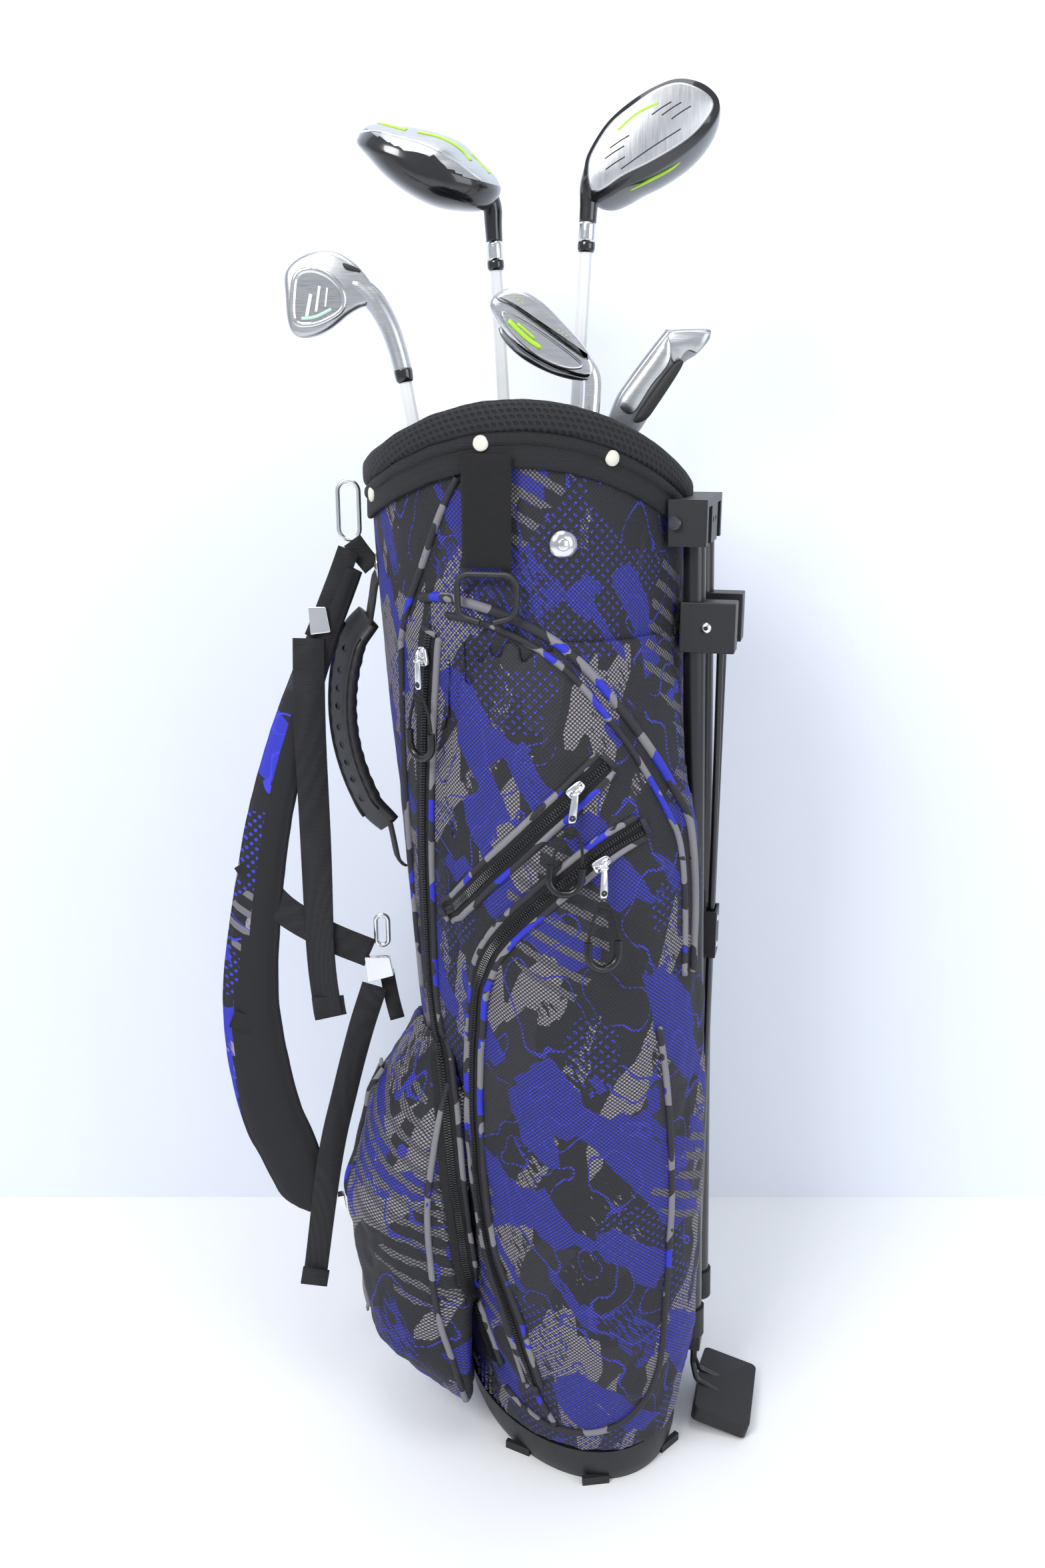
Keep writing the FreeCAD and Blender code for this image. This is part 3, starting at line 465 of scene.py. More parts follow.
AROUND, ROWS, INSIDE_ROWS = 220, 150, 40
BASE_UP, LINING_UP = 0.006, 0.016
points = []
angles = [2 * math.pi * i / AROUND for i in range(AROUND)]
for row in range(ROWS + 1):
    for angle in angles:
        up = BASE_UP + (rim_up(angle) - 0.008 - BASE_UP) * row / ROWS
        spot = hull(angle, up)
        soft = lumps((spot.x, spot.y, up * 0.45), 0.07, 0.0016) + lumps(spot, 0.02, 0.0004)
        ends = min(1, row / 8, (ROWS - row) / 6)
        points.append(hull(angle, up, soft * ends - 0.0002))
for row in range(INSIDE_ROWS + 1):
    for angle in angles:
        up = rim_up(angle) - 0.004 + (LINING_UP - rim_up(angle)) * row / INSIDE_ROWS
        points.append(hull(angle, up, -0.004))
faces = skinned(ROWS + INSIDE_ROWS + 2, AROUND)
faces.pop(-2)
bag_skin = piece("bag_skin", points, faces, CLOTH_NET, "bag")
bag_skin.data.materials.append(LINING)
for face in bag_skin.data.polygons:
    if face.index >= ROWS * AROUND:
        face.material_index = 1
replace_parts(bag_skin, "bag_shell")
print("bag skin points", len(points))

# %% [markdown]
# ## Pockets
# Each pocket starts as its CAD solid, remeshed in small even faces. Smoothing rounds its seams
# as stuffed cloth does; then broad lumps and short creases along the seams are pressed in.


# %% Pockets
POCKETS_MEET = 0.345


def soft_copy(node, name, voxel, passes, lump, crease, overlap=0.0):
    """A rounded, creased cloth form for a CAD node; overlap stretches it past the pockets' join."""
    thing = bpy.data.objects.new(name, NODES[node].data.copy())
    bpy.context.scene.collection.objects.link(thing)
    evener = thing.modifiers.new("even", "REMESH")
    evener.mode, evener.voxel_size = "VOXEL", voxel
    rounder = thing.modifiers.new("round", "SMOOTH")
    rounder.factor, rounder.iterations = 0.5, passes
    graph = bpy.context.evaluated_depsgraph_get()
    done = bpy.data.meshes.new_from_object(thing.evaluated_get(graph))
    thing.modifiers.clear()
    thing.data = done
    normals = [v.normal.copy() for v in done.vertices]
    for v, normal in zip(done.vertices, normals):
        spot = v.co
        upright = (spot.x * 1.6, spot.y * 1.6, spot.z * 0.5)
        push = lumps(spot, 0.055, lump) + lumps(upright, 0.018, crease)
        near = max(0.0, 1 - abs(spot.z - POCKETS_MEET) / 0.026)
        v.co = spot + normal * (push + voxel * 0.18) + Vector((0, 0, overlap * near))
    done.materials.clear()
    done.materials.append(CLOTH_NET)
    done.polygons.foreach_set("use_smooth", [True] * len(done.polygons))
    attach(thing, "bag")
    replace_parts(thing, node)
    print(name, "points", len(done.vertices))
    return thing


SOFT_POCKETS = [
    soft_copy("apparel_pocket", "apparel_pocket_cloth", 0.0035, 5, 0.0022, 0.0007, overlap=-0.011),
    soft_copy("lower_pocket", "lower_pocket_cloth", 0.0035, 5, 0.0022, 0.0007, overlap=0.011),
    soft_copy("side_pocket", "side_pocket_cloth", 0.0040, 9, 0.0036, 0.0010),
    soft_copy("rear_pocket", "rear_pocket_cloth", 0.0040, 6, 0.0025, 0.0008),
]


print("pockets:", [thing.name for thing in SOFT_POCKETS])

# %% [markdown]
# Seams must lie on cloth that is no longer the CAD's shape. Rays shot along +Y at the finished
# skin find each point, and the surface's own normal tells the seam which way is out.


# %% Laying lines on the skin
def tree_of(*things):
    """A ray target made of several meshes."""
    points, faces = [], []
    for thing in things:
        start = len(points)
        points += [v.co.copy() for v in thing.data.vertices]
        faces += [[start + i for i in p.vertices] for p in thing.data.polygons]
    return BVHTree.FromPolygons(points, faces)


SKIN = tree_of(bag_skin, *SOFT_POCKETS)


def land(route, out=0.0, turn=0.0, step=0.004):
    """A line of (x, z) in millimetres, laid on the bag by rays along +Y, turned by some degrees."""
    way = Vector((math.sin(math.radians(turn)), math.cos(math.radians(turn)), 0))
    spots, outs = [], []
    for spot in flow([(x / 1000, 0, z / 1000) for x, z in route], step):
        hit, normal, _, _ = SKIN.ray_cast(spot - way * 0.6, way)
        if hit is None:
            continue
        if normal.dot(way) > 0:
            normal = -normal
        spots.append(hit)
        outs.append(normal)
    spots = [spots[0], *[sum(spots[i - 1:i + 2], Vector()) / 3 for i in range(1, len(spots) - 1)], spots[-1]]
    outs = [sum(outs[max(0, i - 3):i + 4], Vector()).normalized() for i in range(len(outs))]
    return [spot + normal * out for spot, normal in zip(spots, outs)], outs


print("skin to lay seams on:", len(bag_skin.data.vertices), "points and", len(SOFT_POCKETS), "pockets")

# %% [markdown]
# ## Seams, piping and zips
# Piping is a cloth-covered cord on a seam. A zip is a black tape, two rows of coil teeth and a
# printed welt beside it; its coils are small turned loops every two millimetres or so.


# %% Piping
f = Finish("printed_piping", rough=0.75)
patch = f.noise(26, detail=2)
blue_patch = f.noise(33, f.point(f.x + 3, f.y, f.z), detail=2)
mauve_or_black = (patch > 0.52).choose((0.018, 0.018, 0.023), (0.19, 0.185, 0.20))
PIPE_CLOTH = f.done((blue_patch > 0.60).choose(mauve_or_black, BLUE), bump=f.noise(900), depth=0.0003)
# Name, radius, and the way as (x, z) in millimetres.
PIPED_SEAMS = (
    ("piping_left_seam", 0.0026, [
        (-86, 798), (-94, 783), (-102, 764), (-112, 737), (-124, 705), (-129, 683)]),
    ("piping_left_side", 0.0026, [
        (-129, 684), (-130, 640), (-130, 586), (-128, 505), (-122, 400)]),
    ("piping_apparel", 0.0034, [
        (-113, 716), (-95, 718), (-61, 710), (-29, 695), (-5, 677), (18, 651), (37, 626), (54, 600),
        (68, 574), (78, 552), (83, 500), (83, 440)]),
    ("piping_apparel_inner", 0.0024, [
        (-95, 706), (-61, 699), (-31, 684), (-9, 667), (12, 642), (30, 618), (47, 590), (61, 563),
        (70, 540), (75, 490), (76, 440)]),
    ("piping_right", 0.0026, [
        (56, 408), (64, 356), (70, 272), (68, 171), (64, 110), (52, 78), (30, 60), (0, 52),
        (-30, 52), (-56, 66)]),
    ("piping_lower", 0.0026, [
        (-83, 384), (-82, 312), (-72, 206), (-53, 140), (-30, 80), (-16, 54)]),
    ("piping_side_pocket", 0.0026, [
        (-100, 340), (-110, 300), (-118, 230), (-112, 150), (-98, 90), (-90, 50)]),
)
for name, radius, route in PIPED_SEAMS:
    line, outs = land(route, 0.0008)
    swept(name, line, round_section(radius, 8), PIPE_CLOTH, "bag", outs)
print("piped seams:", len(PIPED_SEAMS))

# %% [markdown]
# A zip is a tape, two rows of coil teeth and a welt of the print along its edge. The teeth are
# real six-sided bars set alternately, because a bump would vanish where the zip is seen edge on.


# %% Zips
def zip_on(name, route, reach=0.0095, welts=(1, -1), turn=0.0, open_until=0.0):
    """Tape, teeth and welts along a route; the teeth stand apart for its first open_until metres."""
    line, outs = land(route, 0.0006, turn, 0.003)
    parts = [swept(name + "_tape", line, tape_section(reach * 2, 0.0013), BLACK_TAPE, "bag",
                   outs)]
    rows = frames(line, outs)
    length = [0.0]
    for a, b in zip(line, line[1:]):
        length.append(length[-1] + (b - a).length)
    points, faces = [], []
    pitch, at = 0.0021, 0.001
    while at < length[-1] - 0.001:
        i = int(np.searchsorted(length, at)) - 1
        part = (at - length[i]) / (length[i + 1] - length[i])
        here = line[i].lerp(line[i + 1], part)
        ahead, side, out = rows[i]
        gap = 0.0014 + 0.0022 * max(0.0, 1 - at / max(open_until, 1e-6)) * (open_until > 0)
        for sign in (1, -1):
            middle = here + side * sign * gap + out * 0.0020 + ahead * (pitch / 2 if sign < 0 else 0)
            start = len(points)
            for k in range(6):
                turned = 2 * math.pi * k / 6
                rise = out * math.cos(turned) * 0.0010 + ahead * math.sin(turned) * 0.00075
                points += [middle - side * 0.0013 + rise, middle + side * 0.0013 + rise]
            faces += [(start + 2 * k, start + (2 * k + 2) % 12, start + (2 * k + 3) % 12, start + 2 * k + 1)
                      for k in range(6)]
            faces += [tuple(range(start, start + 12, 2))[::-1], tuple(range(start + 1, start + 13, 2))]
        at += pitch
    parts.append(piece(name + "_teeth", points, faces, TOOTH, "bag", smooth=False))
    for sign in welts:
        beside = [p + side * sign * (reach - 0.001) for p, (_, side, _) in zip(line, rows)]
        parts.append(swept(name + "_welt", beside, round_section(0.0026, 8), PIPE_CLOTH, "bag",
                           outs))
    for end, sign in ((0, -1), (-1, 1)):
        ahead, side, out = rows[end]
        stop = [line[end] + ahead * sign * 0.002 + side * a + out * 0.0016 for a in (-0.006, 0, 0.006)]
        parts.append(swept(name + "_stop", stop, tape_section(0.004, 0.0022), PIPE_CLOTH, "bag",
                           [out] * 3))
    print(name, "length", round(length[-1], 3))
    return join(parts, name)


long_zip = zip_on("long_zip_chain", [
    (-106.5, 692), (-108.5, 679), (-112, 618), (-115, 512), (-112, 400),
    (-103, 335), (-97, 250), (-86, 160), (-64, 90)], welts=(-1,))
zip_on("upper_zip_chain", [
    (14, 607), (-4, 590), (-36, 558),
    (-69, 522), (-98, 482)])
zip_on("lower_zip_chain", [
    (40, 560), (8, 543), (-35, 505), (-68, 459), (-78, 394),
    (-79, 299), (-69, 206), (-50, 147), (-34, 90)], open_until=0.045)
zip_on("side_zip_chain", [
    (-150, 318), (-172, 268), (-180, 205),
    (-174, 147), (-152, 102)], reach=0.009, turn=35)
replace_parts(long_zip, "zip_tapes")

# %% [markdown]
# ## The mouth
# A net-covered roll follows the arch, a smooth roll sits under it, and a woven band covers the
# raw edge. Each is one section carried once round the bag.


# %% Collar, roll and band
def ring_round(name, section, finish):
    """A section of (out, up) points carried round the mouth."""
    count = 260
    points, faces, n = [], [], len(section)
    for i in range(count):
        angle = 2 * math.pi * i / count
        up = rim_up(angle)
        slack = lumps((math.cos(angle), math.sin(angle), 3), 0.2, 0.0006)
        points += [hull(angle, up, out) + Vector((0, 0, rise + slack)) for out, rise in section]
    for i in range(count):
        after = (i + 1) % count
        faces += [(i * n + j, after * n + j, after * n + (j + 1) % n, i * n + (j + 1) % n) for j in range(n)]
    return piece(name, points, faces, finish, "bag")


def squared(middle, rise, half, tall, count=30, power=0.62):
    """A rounded section between an oval and a box."""
    turns = [2 * math.pi * i / count for i in range(count)]
    return [(middle + half * boxed(math.cos(t), power), rise + tall * boxed(math.sin(t), power)) for t in turns]


collar = ring_round("collar_roll", squared(-0.0035, 0.0155, 0.0092, 0.0106), PAD_NET)
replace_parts(collar, "collar_pad")
under_roll = ring_round("under_roll", squared(0.0002, 0.0015, 0.0048, 0.0052, 16, 0.9), BLACK_WEB)
band = ring_round("rim_band_cloth", [(0.0005, -0.001), (0.0024, -0.0014), (0.0032, -0.0028), (0.0033, -0.0155),
                                     (0.0025, -0.0172), (0.0005, -0.0176)], BLACK_WEB)
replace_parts(band, "rim_band")
print("mouth pieces:", collar.name, under_roll.name, band.name)

# %% [markdown]
# Rivets hold the band and press studs hold the rain hood. Both are turned parts, so one builder
# spins a short profile; the studs land on the cloth by the same rays as the seams.


# %% Rivets and studs
def button(name, spot, out, radius, tall, finish, body="bag", dome=True, hole=0.0):
    """A domed rivet or a flat ring, turned about out."""
    profile = [(hole, 0.0)] if hole else []
    profile += [(radius, 0.0), (radius, tall * 0.45)]
    profile += [(radius * math.cos(t), tall * (0.45 + 0.55 * math.sin(t))) for t in (0.5, 1.0)] if dome else []
    profile += [(hole if hole else radius * 0.12, tall)]
    out = Vector(out).normalized()
    side = out.orthogonal().normalized()
    over = out.cross(side)
    points, faces, n, count = [], [], len(profile), 28
    for i in range(count):
        turned = 2 * math.pi * i / count
        for r, up in profile:
            points.append(Vector(spot) + (side * math.cos(turned) + over * math.sin(turned)) * r + out * up)
    for i in range(count):
        after = (i + 1) % count
        faces += [(i * n + j, after * n + j, after * n + j + 1, i * n + j + 1) for j in range(n - 1)]
    if not hole:
        faces.append(tuple(i * n + n - 1 for i in range(count)))
    return piece(name, points, faces, finish, body)


def on_rim(angle, drop, out):
    angle = math.radians(angle)
    return hull(angle, rim_up(angle) - drop, out), Vector((math.cos(angle), math.sin(angle), 0))


for index, (angle, drop) in enumerate(((-104, 0.0), (-158, 0.004), (-62, 0.0))):
    spot, out = on_rim(angle, drop, 0.0036)
    button(f"rivet_{index}", spot, out, 0.0052, 0.0024, CREAM)
for index, (x, z, turn) in enumerate(((-16, 755, 0), (-141, 730, 40))):
    line, outs = land([(x - 4, z), (x, z), (x + 4, z)], 0.0, turn)
    mid = len(line) // 2
    button(f"snap_{index}", line[mid], outs[mid], 0.0095, 0.0016, BRIGHT, dome=False, hole=0.0042)
    button(f"snap_{index}_cap", line[mid], outs[mid], 0.0044, 0.0026, BRIGHT)
print("rivets: 3, studs: 2")

# %% [markdown]
# The glove tab is a strip of hook-and-loop tape. It is a grid of points on both faces that thins
# at the edge, and small noise on the front face gives the pile a ragged outline.


# %% Glove tab
low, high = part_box("glove_tab")
TAB_AT = math.radians(-104)
TAB_WIDE, TAB_TALL, TAB_THICK = 0.034, 0.074, 0.0013
tab_out = Vector((math.cos(TAB_AT), math.sin(TAB_AT), 0))
tab_side = Vector((-tab_out.y, tab_out.x, 0))
middle = (low + high) / 2
rows, cols = 40, 18
points, faces = [], []
for layer in (1, -1):
    for r in range(rows + 1):
        for c in range(cols + 1):
            a, b = (c / cols - 0.5) * TAB_WIDE, (r / rows - 0.5) * TAB_TALL
            edge = max(abs(a) / TAB_WIDE, abs(b) / TAB_TALL) * 2
            thick = TAB_THICK * math.sqrt(max(0.0, 1 - edge ** 10))
            if layer > 0:
                thick += 0.0005 * lumps((a, b, 1), 0.004, 1)
            points.append(middle + tab_side * a + Vector((0, 0, b)) + tab_out * layer * thick)
step = (rows + 1) * (cols + 1)
for layer in (0, 1):
    for r in range(rows):
        for c in range(cols):
            first = layer * step + r * (cols + 1) + c
            quad = [first, first + 1, first + cols + 2, first + cols + 1]
            faces.append(tuple(quad if layer == 0 else quad[::-1]))
glove = piece("glove_tab_pile", points, faces, LOOP_PILE, "bag")
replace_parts(glove, "glove_tab")
print("glove tab points", len(points))

# %% [markdown]
# ## Straps and handle
# The shoulder pad is a stuffed strip, printed outside and black inside, with a quilted line near
# each edge. A section that changes width along a line makes it, and noise gives it its slack.


# %% Shoulder pad
PAD_LINE = [
    (-171, 728), (-203, 655), (-233, 568), (-251, 492), (-265, 397), (-265, 340), (-256, 278),
    (-240, 231), (-223, 182)]
PAD_WIDE = [18, 26, 34, 38, 42, 48, 54, 56, 46]
line = flow([(x / 1000, -0.006, z / 1000) for x, z in PAD_LINE], 0.004)
points, count = [], 36
for i, (here, (ahead, side, out)) in enumerate(zip(line, frames(line, [Vector((0, -1, 0))] * len(line)))):
    share = i / (len(line) - 1)
    half = float(np.interp(share * (len(PAD_WIDE) - 1), range(len(PAD_WIDE)), PAD_WIDE)) / 2000
    half *= math.sqrt(max(0.03, 1 - max(0, (share - 0.96) / 0.04) ** 2))
    twist = math.radians(-24 + 18 * share)
    wide = side * math.cos(twist) + out * math.sin(twist)
    deep = out * math.cos(twist) - side * math.sin(twist)
    for k in range(count):
        turned = 2 * math.pi * k / count
        a = boxed(math.cos(turned), 0.7)
        quilted = 0.45 * math.exp(-((a - 0.15) / 0.10) ** 2) + 0.5 * math.exp(-((abs(a) - 0.86) / 0.05) ** 2)
        thick = 0.0052 * boxed(math.sin(turned), 0.8) * (1 - quilted)
        spot = here + wide * half * a
        points.append(spot + deep * (thick + lumps(spot, 0.02, 0.0007) + 0.004 * (1 - a * a)))
pad = piece("shoulder_pad", points, skinned(len(line), count), CLOTH_STRAP, "bag")
pad.data.materials.append(LINING)
for face in pad.data.polygons:
    row, ring = divmod(face.index, count)
    spot = line[min(row, len(line) - 1)]
    lined_from = spot.x - 0.003 - 0.12 * max(0, 0.46 - spot.z)
    if ring < count // 2 and face.center.x > lined_from:
        face.material_index = 1
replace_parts(pad, "shoulder_strap")
print("shoulder pad points", len(points))

# %% [markdown]
# Webbing runs through the adjusters as flat woven tapes with folded ends. Each is a thin section
# along a flowing line; a slow wave keeps the tape from looking like a ruler.


# %% Webbing and its loops
def tape(name, route, wide, y, waves=0.0025, finish=BLACK_WEB):
    """A webbing tape through points in x and z, all in millimetres, waving slowly in and out."""
    line = flow([(x / 1000, y / 1000, z / 1000) for x, z in route], 0.004)
    for i, spot in enumerate(line):
        spot.y += waves * math.sin(i / 9.0 + route[0][0])
    outs = [Vector((0.25 * math.sin(i / 14.0), -1, 0)).normalized() for i in range(len(line))]
    return swept(name, line, tape_section(wide / 1000, 0.0018), finish, "bag", outs)


webs = [
    tape("web_front", [(-204, 676), (-206, 600), (-206, 505), (-205, 420), (-201, 368)], 24, -15.5),
    tape("web_front_end", [(-201, 384), (-200, 372), (-199, 366)], 26, -18.5, waves=0.0),
    tape("web_lower", [(-262, 497), (-240, 462), (-205, 438), (-166, 420)], 24, -11.5),
    tape("web_tail", [(-163, 392), (-176, 352), (-190, 300), (-205, 235), (-224, 112)], 21, -15.5),
    tape("web_tail_end", [(-221, 128), (-224, 112)], 23, -17.8, waves=0.0),
    tape("web_anchor", [(-154, 402), (-150, 378), (-146, 360)], 12, -6.5),
    tape("web_ring_loop", [(-170, 748), (-163, 738), (-155, 728)], 15, -6.0, waves=0.0),
    tape("web_pad_top", [(-172, 742), (-180, 722), (-192, 694), (-200, 676)], 16, -12.5, waves=0.0),
    tape("web_bar_loop", [(-281, 362), (-266, 356), (-249, 352)], 16, -13.0, waves=0.0, finish=BLACK_TAPE),
]
web = join(webs, "strap_webbing_shaped")
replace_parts(web, "strap_webbing")
print("webbing tapes:", len(webs))

# %% [markdown]
# The carry handle is one moulded bow with ribs and drain holes, held by a webbing loop at each
# end. Its bow leaves room for fingers, so it follows the bag's side and lifts away in the middle.


# %% Carry handle
HANDLE_TOP, HANDLE_FOOT = 0.690, 0.525
bow = []
for i in range(13):
    share = i / 12
    up = HANDLE_TOP + (HANDLE_FOOT - HANDLE_TOP) * share
    inner = hull(math.pi, up)
    lift = 0.005 + 0.006 + 0.027 * math.sin(math.pi * share) ** 0.6
    bow.append(Vector((inner.x - lift, 0, up)))
line = flow(bow, 0.0025)
HANDLE_OUT = Vector((-math.cos(math.radians(38)), -math.sin(math.radians(38)), 0))
section = [(0.0165 * boxed(math.cos(t), 0.45), 0.0050 * boxed(math.sin(t), 0.6))
           for t in [2 * math.pi * k / 28 for k in range(28)]]


def handle_waist(share):
    """Narrow at the ends, with sixteen shallow ribs between."""
    ribs = 0.035 * math.sin(share * 2 * math.pi * 16) * (0.12 < share < 0.88)
    return (0.80 + 0.20 * min(1, 6 * share, 6 * (1 - share))) * (1 + ribs)


parts = [swept("handle_bow", line, section, MOULDED, "bag", [HANDLE_OUT] * len(line),
               taper=handle_waist)]
rows = frames(line, [HANDLE_OUT] * len(line))
# The drain holes are near-black rings of painted shade; the handle itself is not pierced.
for k in range(9):
    i = int(len(line) * (0.18 + 0.08 * k))
    ahead, side, out = rows[i]
    parts.append(button(f"handle_hole_{k}", line[i] + out * 0.0046, out, 0.0034, 0.0010, GROOVE_SHADE,
                        dome=False, hole=0.0020))
for sign in (1, -1):
    edge = [p + side * sign * 0.0125 + out * 0.0046 for p, (_, side, out) in zip(line, rows)][6:-6]
    parts.append(swept(f"handle_rib_{sign}", edge, round_section(0.0012, 6), MOULDED, "bag",
                       [HANDLE_OUT] * len(edge)))
handle = join(parts, "carry_handle_shaped")
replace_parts(handle, "carry_handle")
loops = []
for k, (up, sign) in enumerate(((HANDLE_TOP, 1), (HANDLE_FOOT, -1))):
    base = hull(math.pi, up)
    steps = ((0.001, 0.034), (-0.004, 0.028), (-0.007, 0.012), (-0.010, -0.004))
    way = flow([base + Vector((x, 0, sign * z)) for x, z in steps], 0.003)
    loops.append(swept(f"handle_loop_{k}", way, tape_section(0.027, 0.0022), BLACK_WEB, "bag",
                       [Vector((-1, -0.25, 0)).normalized()] * len(way)))
loop = join(loops, "handle_loops_shaped")
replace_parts(loop, "handle_loops")
print("handle length", round(sum((b - a).length for a, b in zip(line, line[1:])), 3))

# %% [markdown]
# ## Zip pulls
# Each pull hangs in its own frame: the hinge line runs across the slider and the tab points down.
# The cord is a curve whose length is printed; the moulded grip closes it.


# %% Builders for sliders and tabs
JOINTS = {row["name"]: row for row in frame["joints"]}


def long_way(node):
    """The long direction of a straight CAD piece, pointing down."""
    co = np.array([v.co for v in NODES[node].data.vertices])
    _, _, ways = np.linalg.svd(co - co.mean(0), full_matrices=False)
    way = Vector(ways[0])
    return way if way.z < 0 else -way


def slab_between(name, place, side, along, out, wide, long, thick, body, waist):
    """A rounded plate about a place, narrowed at one end."""
    points, count = [], 32
    for layer, grow in ((-0.5, 0.86), (-0.3, 1.0), (0.3, 1.0), (0.5, 0.86)):
        for k in range(count):
            turned = 2 * math.pi * k / count
            a, b = boxed(math.cos(turned), 0.5), boxed(math.sin(turned), 0.5)
            narrow = waist + (1 - waist) * (b + 1) / 2
            points.append(place + side * a * wide / 2 * narrow * grow
                          + along * b * long / 2 * (grow + 1) / 2 + out * thick * layer)
    return piece(name, points, skinned(4, count), BRIGHT, body)


def placed(spot, across, down, out, steps):
    """A fine line through steps of (across, down, out) in millimetres from a place."""
    return flow([spot + (across * a + down * b + out * c) / 1000 for a, b, c in steps], 0.001)


print("slider and tab builders ready")

# %% [markdown]
# Each pull rides two bodies: the slider runs along the tape, and the tab, the cord and the grip
# swing on it. The cord's length is worked out from its own line and printed.

# %% Three pulls
# Steps of (across, down, out) in millimetres; the cord's are half of it, (across, down).
BRIDGE = ((-5, 0, 1), (-4, 0, 4.2), (0, 0, 5.6), (4, 0, 4.2), (5, 0, 1))
LINK = ((-2.2, 1, -4), (-2.4, 2, 0.6), (0, 3, 1.8), (2.4, 2, 0.6), (2.2, 1, -4))
WRAP = ((-4.4, 26.8, 0), (-2.0, 28.5, 2.2), (2.0, 30.0, 2.4), (4.6, 31.5, 0))
HALF_CORD = [(2.2, 27.2), (6.0, 33.2), (9.5, 43.2), (11.0, 53.0)]
CORD_THICK = 0.0022
for name in ("long", "upper", "lower"):
    hinge = JOINTS[name + "_pull_swing"]
    spot, across = Vector(hinge["pos_m"]), -Vector(hinge["axis"])
    down = long_way(name + "_zip_tab")
    out = across.cross(down).normalized()
    if out.y > 0:
        out = -out
    low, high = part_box(name + "_zip_slider")
    middle = (low + high) / 2
    run = long_way(name + "_zip_slider")
    face = run.cross(across).normalized()
    face = face if face.y < 0 else -face
    over = run.cross(face).normalized()
    slides, swings = name + "_zip", name + "_pull"
    body = slab_between(name + "_slider_body", middle - face * 0.0004, over, run, face,
                        0.0098, 0.0140, 0.0036, slides, 0.72)
    bridge = swept(name + "_bridge", placed(middle, run, over, face, BRIDGE), round_section(0.0012, 8), BRIGHT,
                   slides)
    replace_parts(join([body, bridge], name + "_slider_shaped"), name + "_zip_slider")
    tab_top = slab_between(name + "_tab_body", spot + down * 0.0125, across, down, out,
                           0.0062, 0.0215, 0.0017, swings, 0.74)
    # The tab's eye is a near-black ring of painted shade on the solid tab.
    eye = button(name + "_tab_eye", spot + down * 0.0195 + out * 0.0006, out, 0.0024, 0.0005, GROOVE_SHADE,
                 body=swings, dome=False, hole=0.0004)
    link = swept(name + "_link", placed(spot, across, down, out, LINK), round_section(0.0009, 8), BRIGHT,
                 swings)
    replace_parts(join([tab_top, eye, link], name + "_tab_shaped"), name + "_zip_tab")
    route = [spot + across * (-a / 1000) + down * (b / 1000) for a, b in HALF_CORD[::-1]]
    route += [spot + across * (a / 1000) + down * (b / 1000) for a, b in HALF_CORD]
    way = flow(route, 0.0012)
    data = bpy.data.curves.new(name + "_cord_line", "CURVE")
    data.dimensions, data.bevel_depth, data.bevel_resolution = "3D", CORD_THICK / 2, 4
    spline = data.splines.new("POLY")
    spline.points.add(len(way) - 1)
    for point, where in zip(spline.points, way):
        point.co = (*where, 1)
    data.materials.append(CORD)
    cord = bpy.data.objects.new(name + "_cord_shaped", data)
    bpy.context.scene.collection.objects.link(cord)
    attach(cord, swings)
    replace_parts(cord, name + "_zip_cord")
    button(name + "_knot", spot + down * 0.0300 - out * 0.0016, out, 0.0042, 0.0036, CORD,
           body=swings)
    swept(name + "_wrap", placed(spot, across, down, out, WRAP), round_section(CORD_THICK / 2, 8), CORD,
          swings)
    length = sum((b - a).length for a, b in zip(way, way[1:]))
    NODES[name + "_zip_grip"].data.materials[0] = GLOSS_MOULDED
    print(name, "cord length", round(length, 4))

# %% [markdown]
# The stand's mouldings come from the CAD as they are. They only need screws, rivets and the small
# rounded edges of a moulding, which a weld and a bevel modifier add without moving any face.


# %% Screws on the stand
STAND_TURN = math.radians(14)
STAND_NEAR = Vector((-math.sin(STAND_TURN), -math.cos(STAND_TURN), 0))
STAND_OUT = Vector((math.cos(STAND_TURN), -math.sin(STAND_TURN), 0))
for node, body in (("leg_clamp_near", "leg_near"), ("leg_clamp_far", "leg_far")):
    low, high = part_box(node)
    middle = (low + high) / 2
    button(node + "_screw", middle + STAND_NEAR * 0.0104 - STAND_OUT * 0.001, STAND_NEAR, 0.0040, 0.0010,
           BRIGHT, body=body, dome=False, hole=0.0016)
low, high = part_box("wire_sleeve")
for k, rise in enumerate((0.011, -0.011)):
    spot = (low + high) / 2 + STAND_OUT * 0.0048 + Vector((0, 0, rise))
    button(f"sleeve_rivet_{k}", spot, STAND_OUT, 0.0024, 0.0010, BRIGHT, body="kick_wire")
MOULDINGS = ("stand_bracket", "leg_clamp_near", "leg_clamp_far", "wire_sleeve", "wire_guide", "kick_foot",
             "base_lugs", "base_boot", "strap_hardware")
for name in MOULDINGS:
    weld = NODES[name].modifiers.new("weld", "WELD")
    weld.merge_threshold = 0.00005
    soften = NODES[name].modifiers.new("soften", "BEVEL")
    soften.width, soften.segments, soften.limit_method = 0.0008, 2, "ANGLE"
    soften.angle_limit = math.radians(40)
    soften.harden_normals = True
print("mouldings softened:", len(MOULDINGS))

# %% [markdown]
# ## Clubs
# Every club has its own frame: the top of the neck, with Z up the shaft. Heads are drawn in
# millimetres in that frame, as slabs with rounded edges or as bulges behind a face.


# %% Club builders
CLUBS = {  # top of the neck, grip end
    "driver": ((-64, 74, 958), (-10, 75, 16)), "fairway_wood": ((4, 30, 966), (-45, 20, 16)),
    "iron": ((-127, -30, 868), (24, -34, 16)), "wedge": ((4, -50, 838), (10, -68, 16)),
    "putter": ((32, -25, 838), (36, 12, 16)),
}


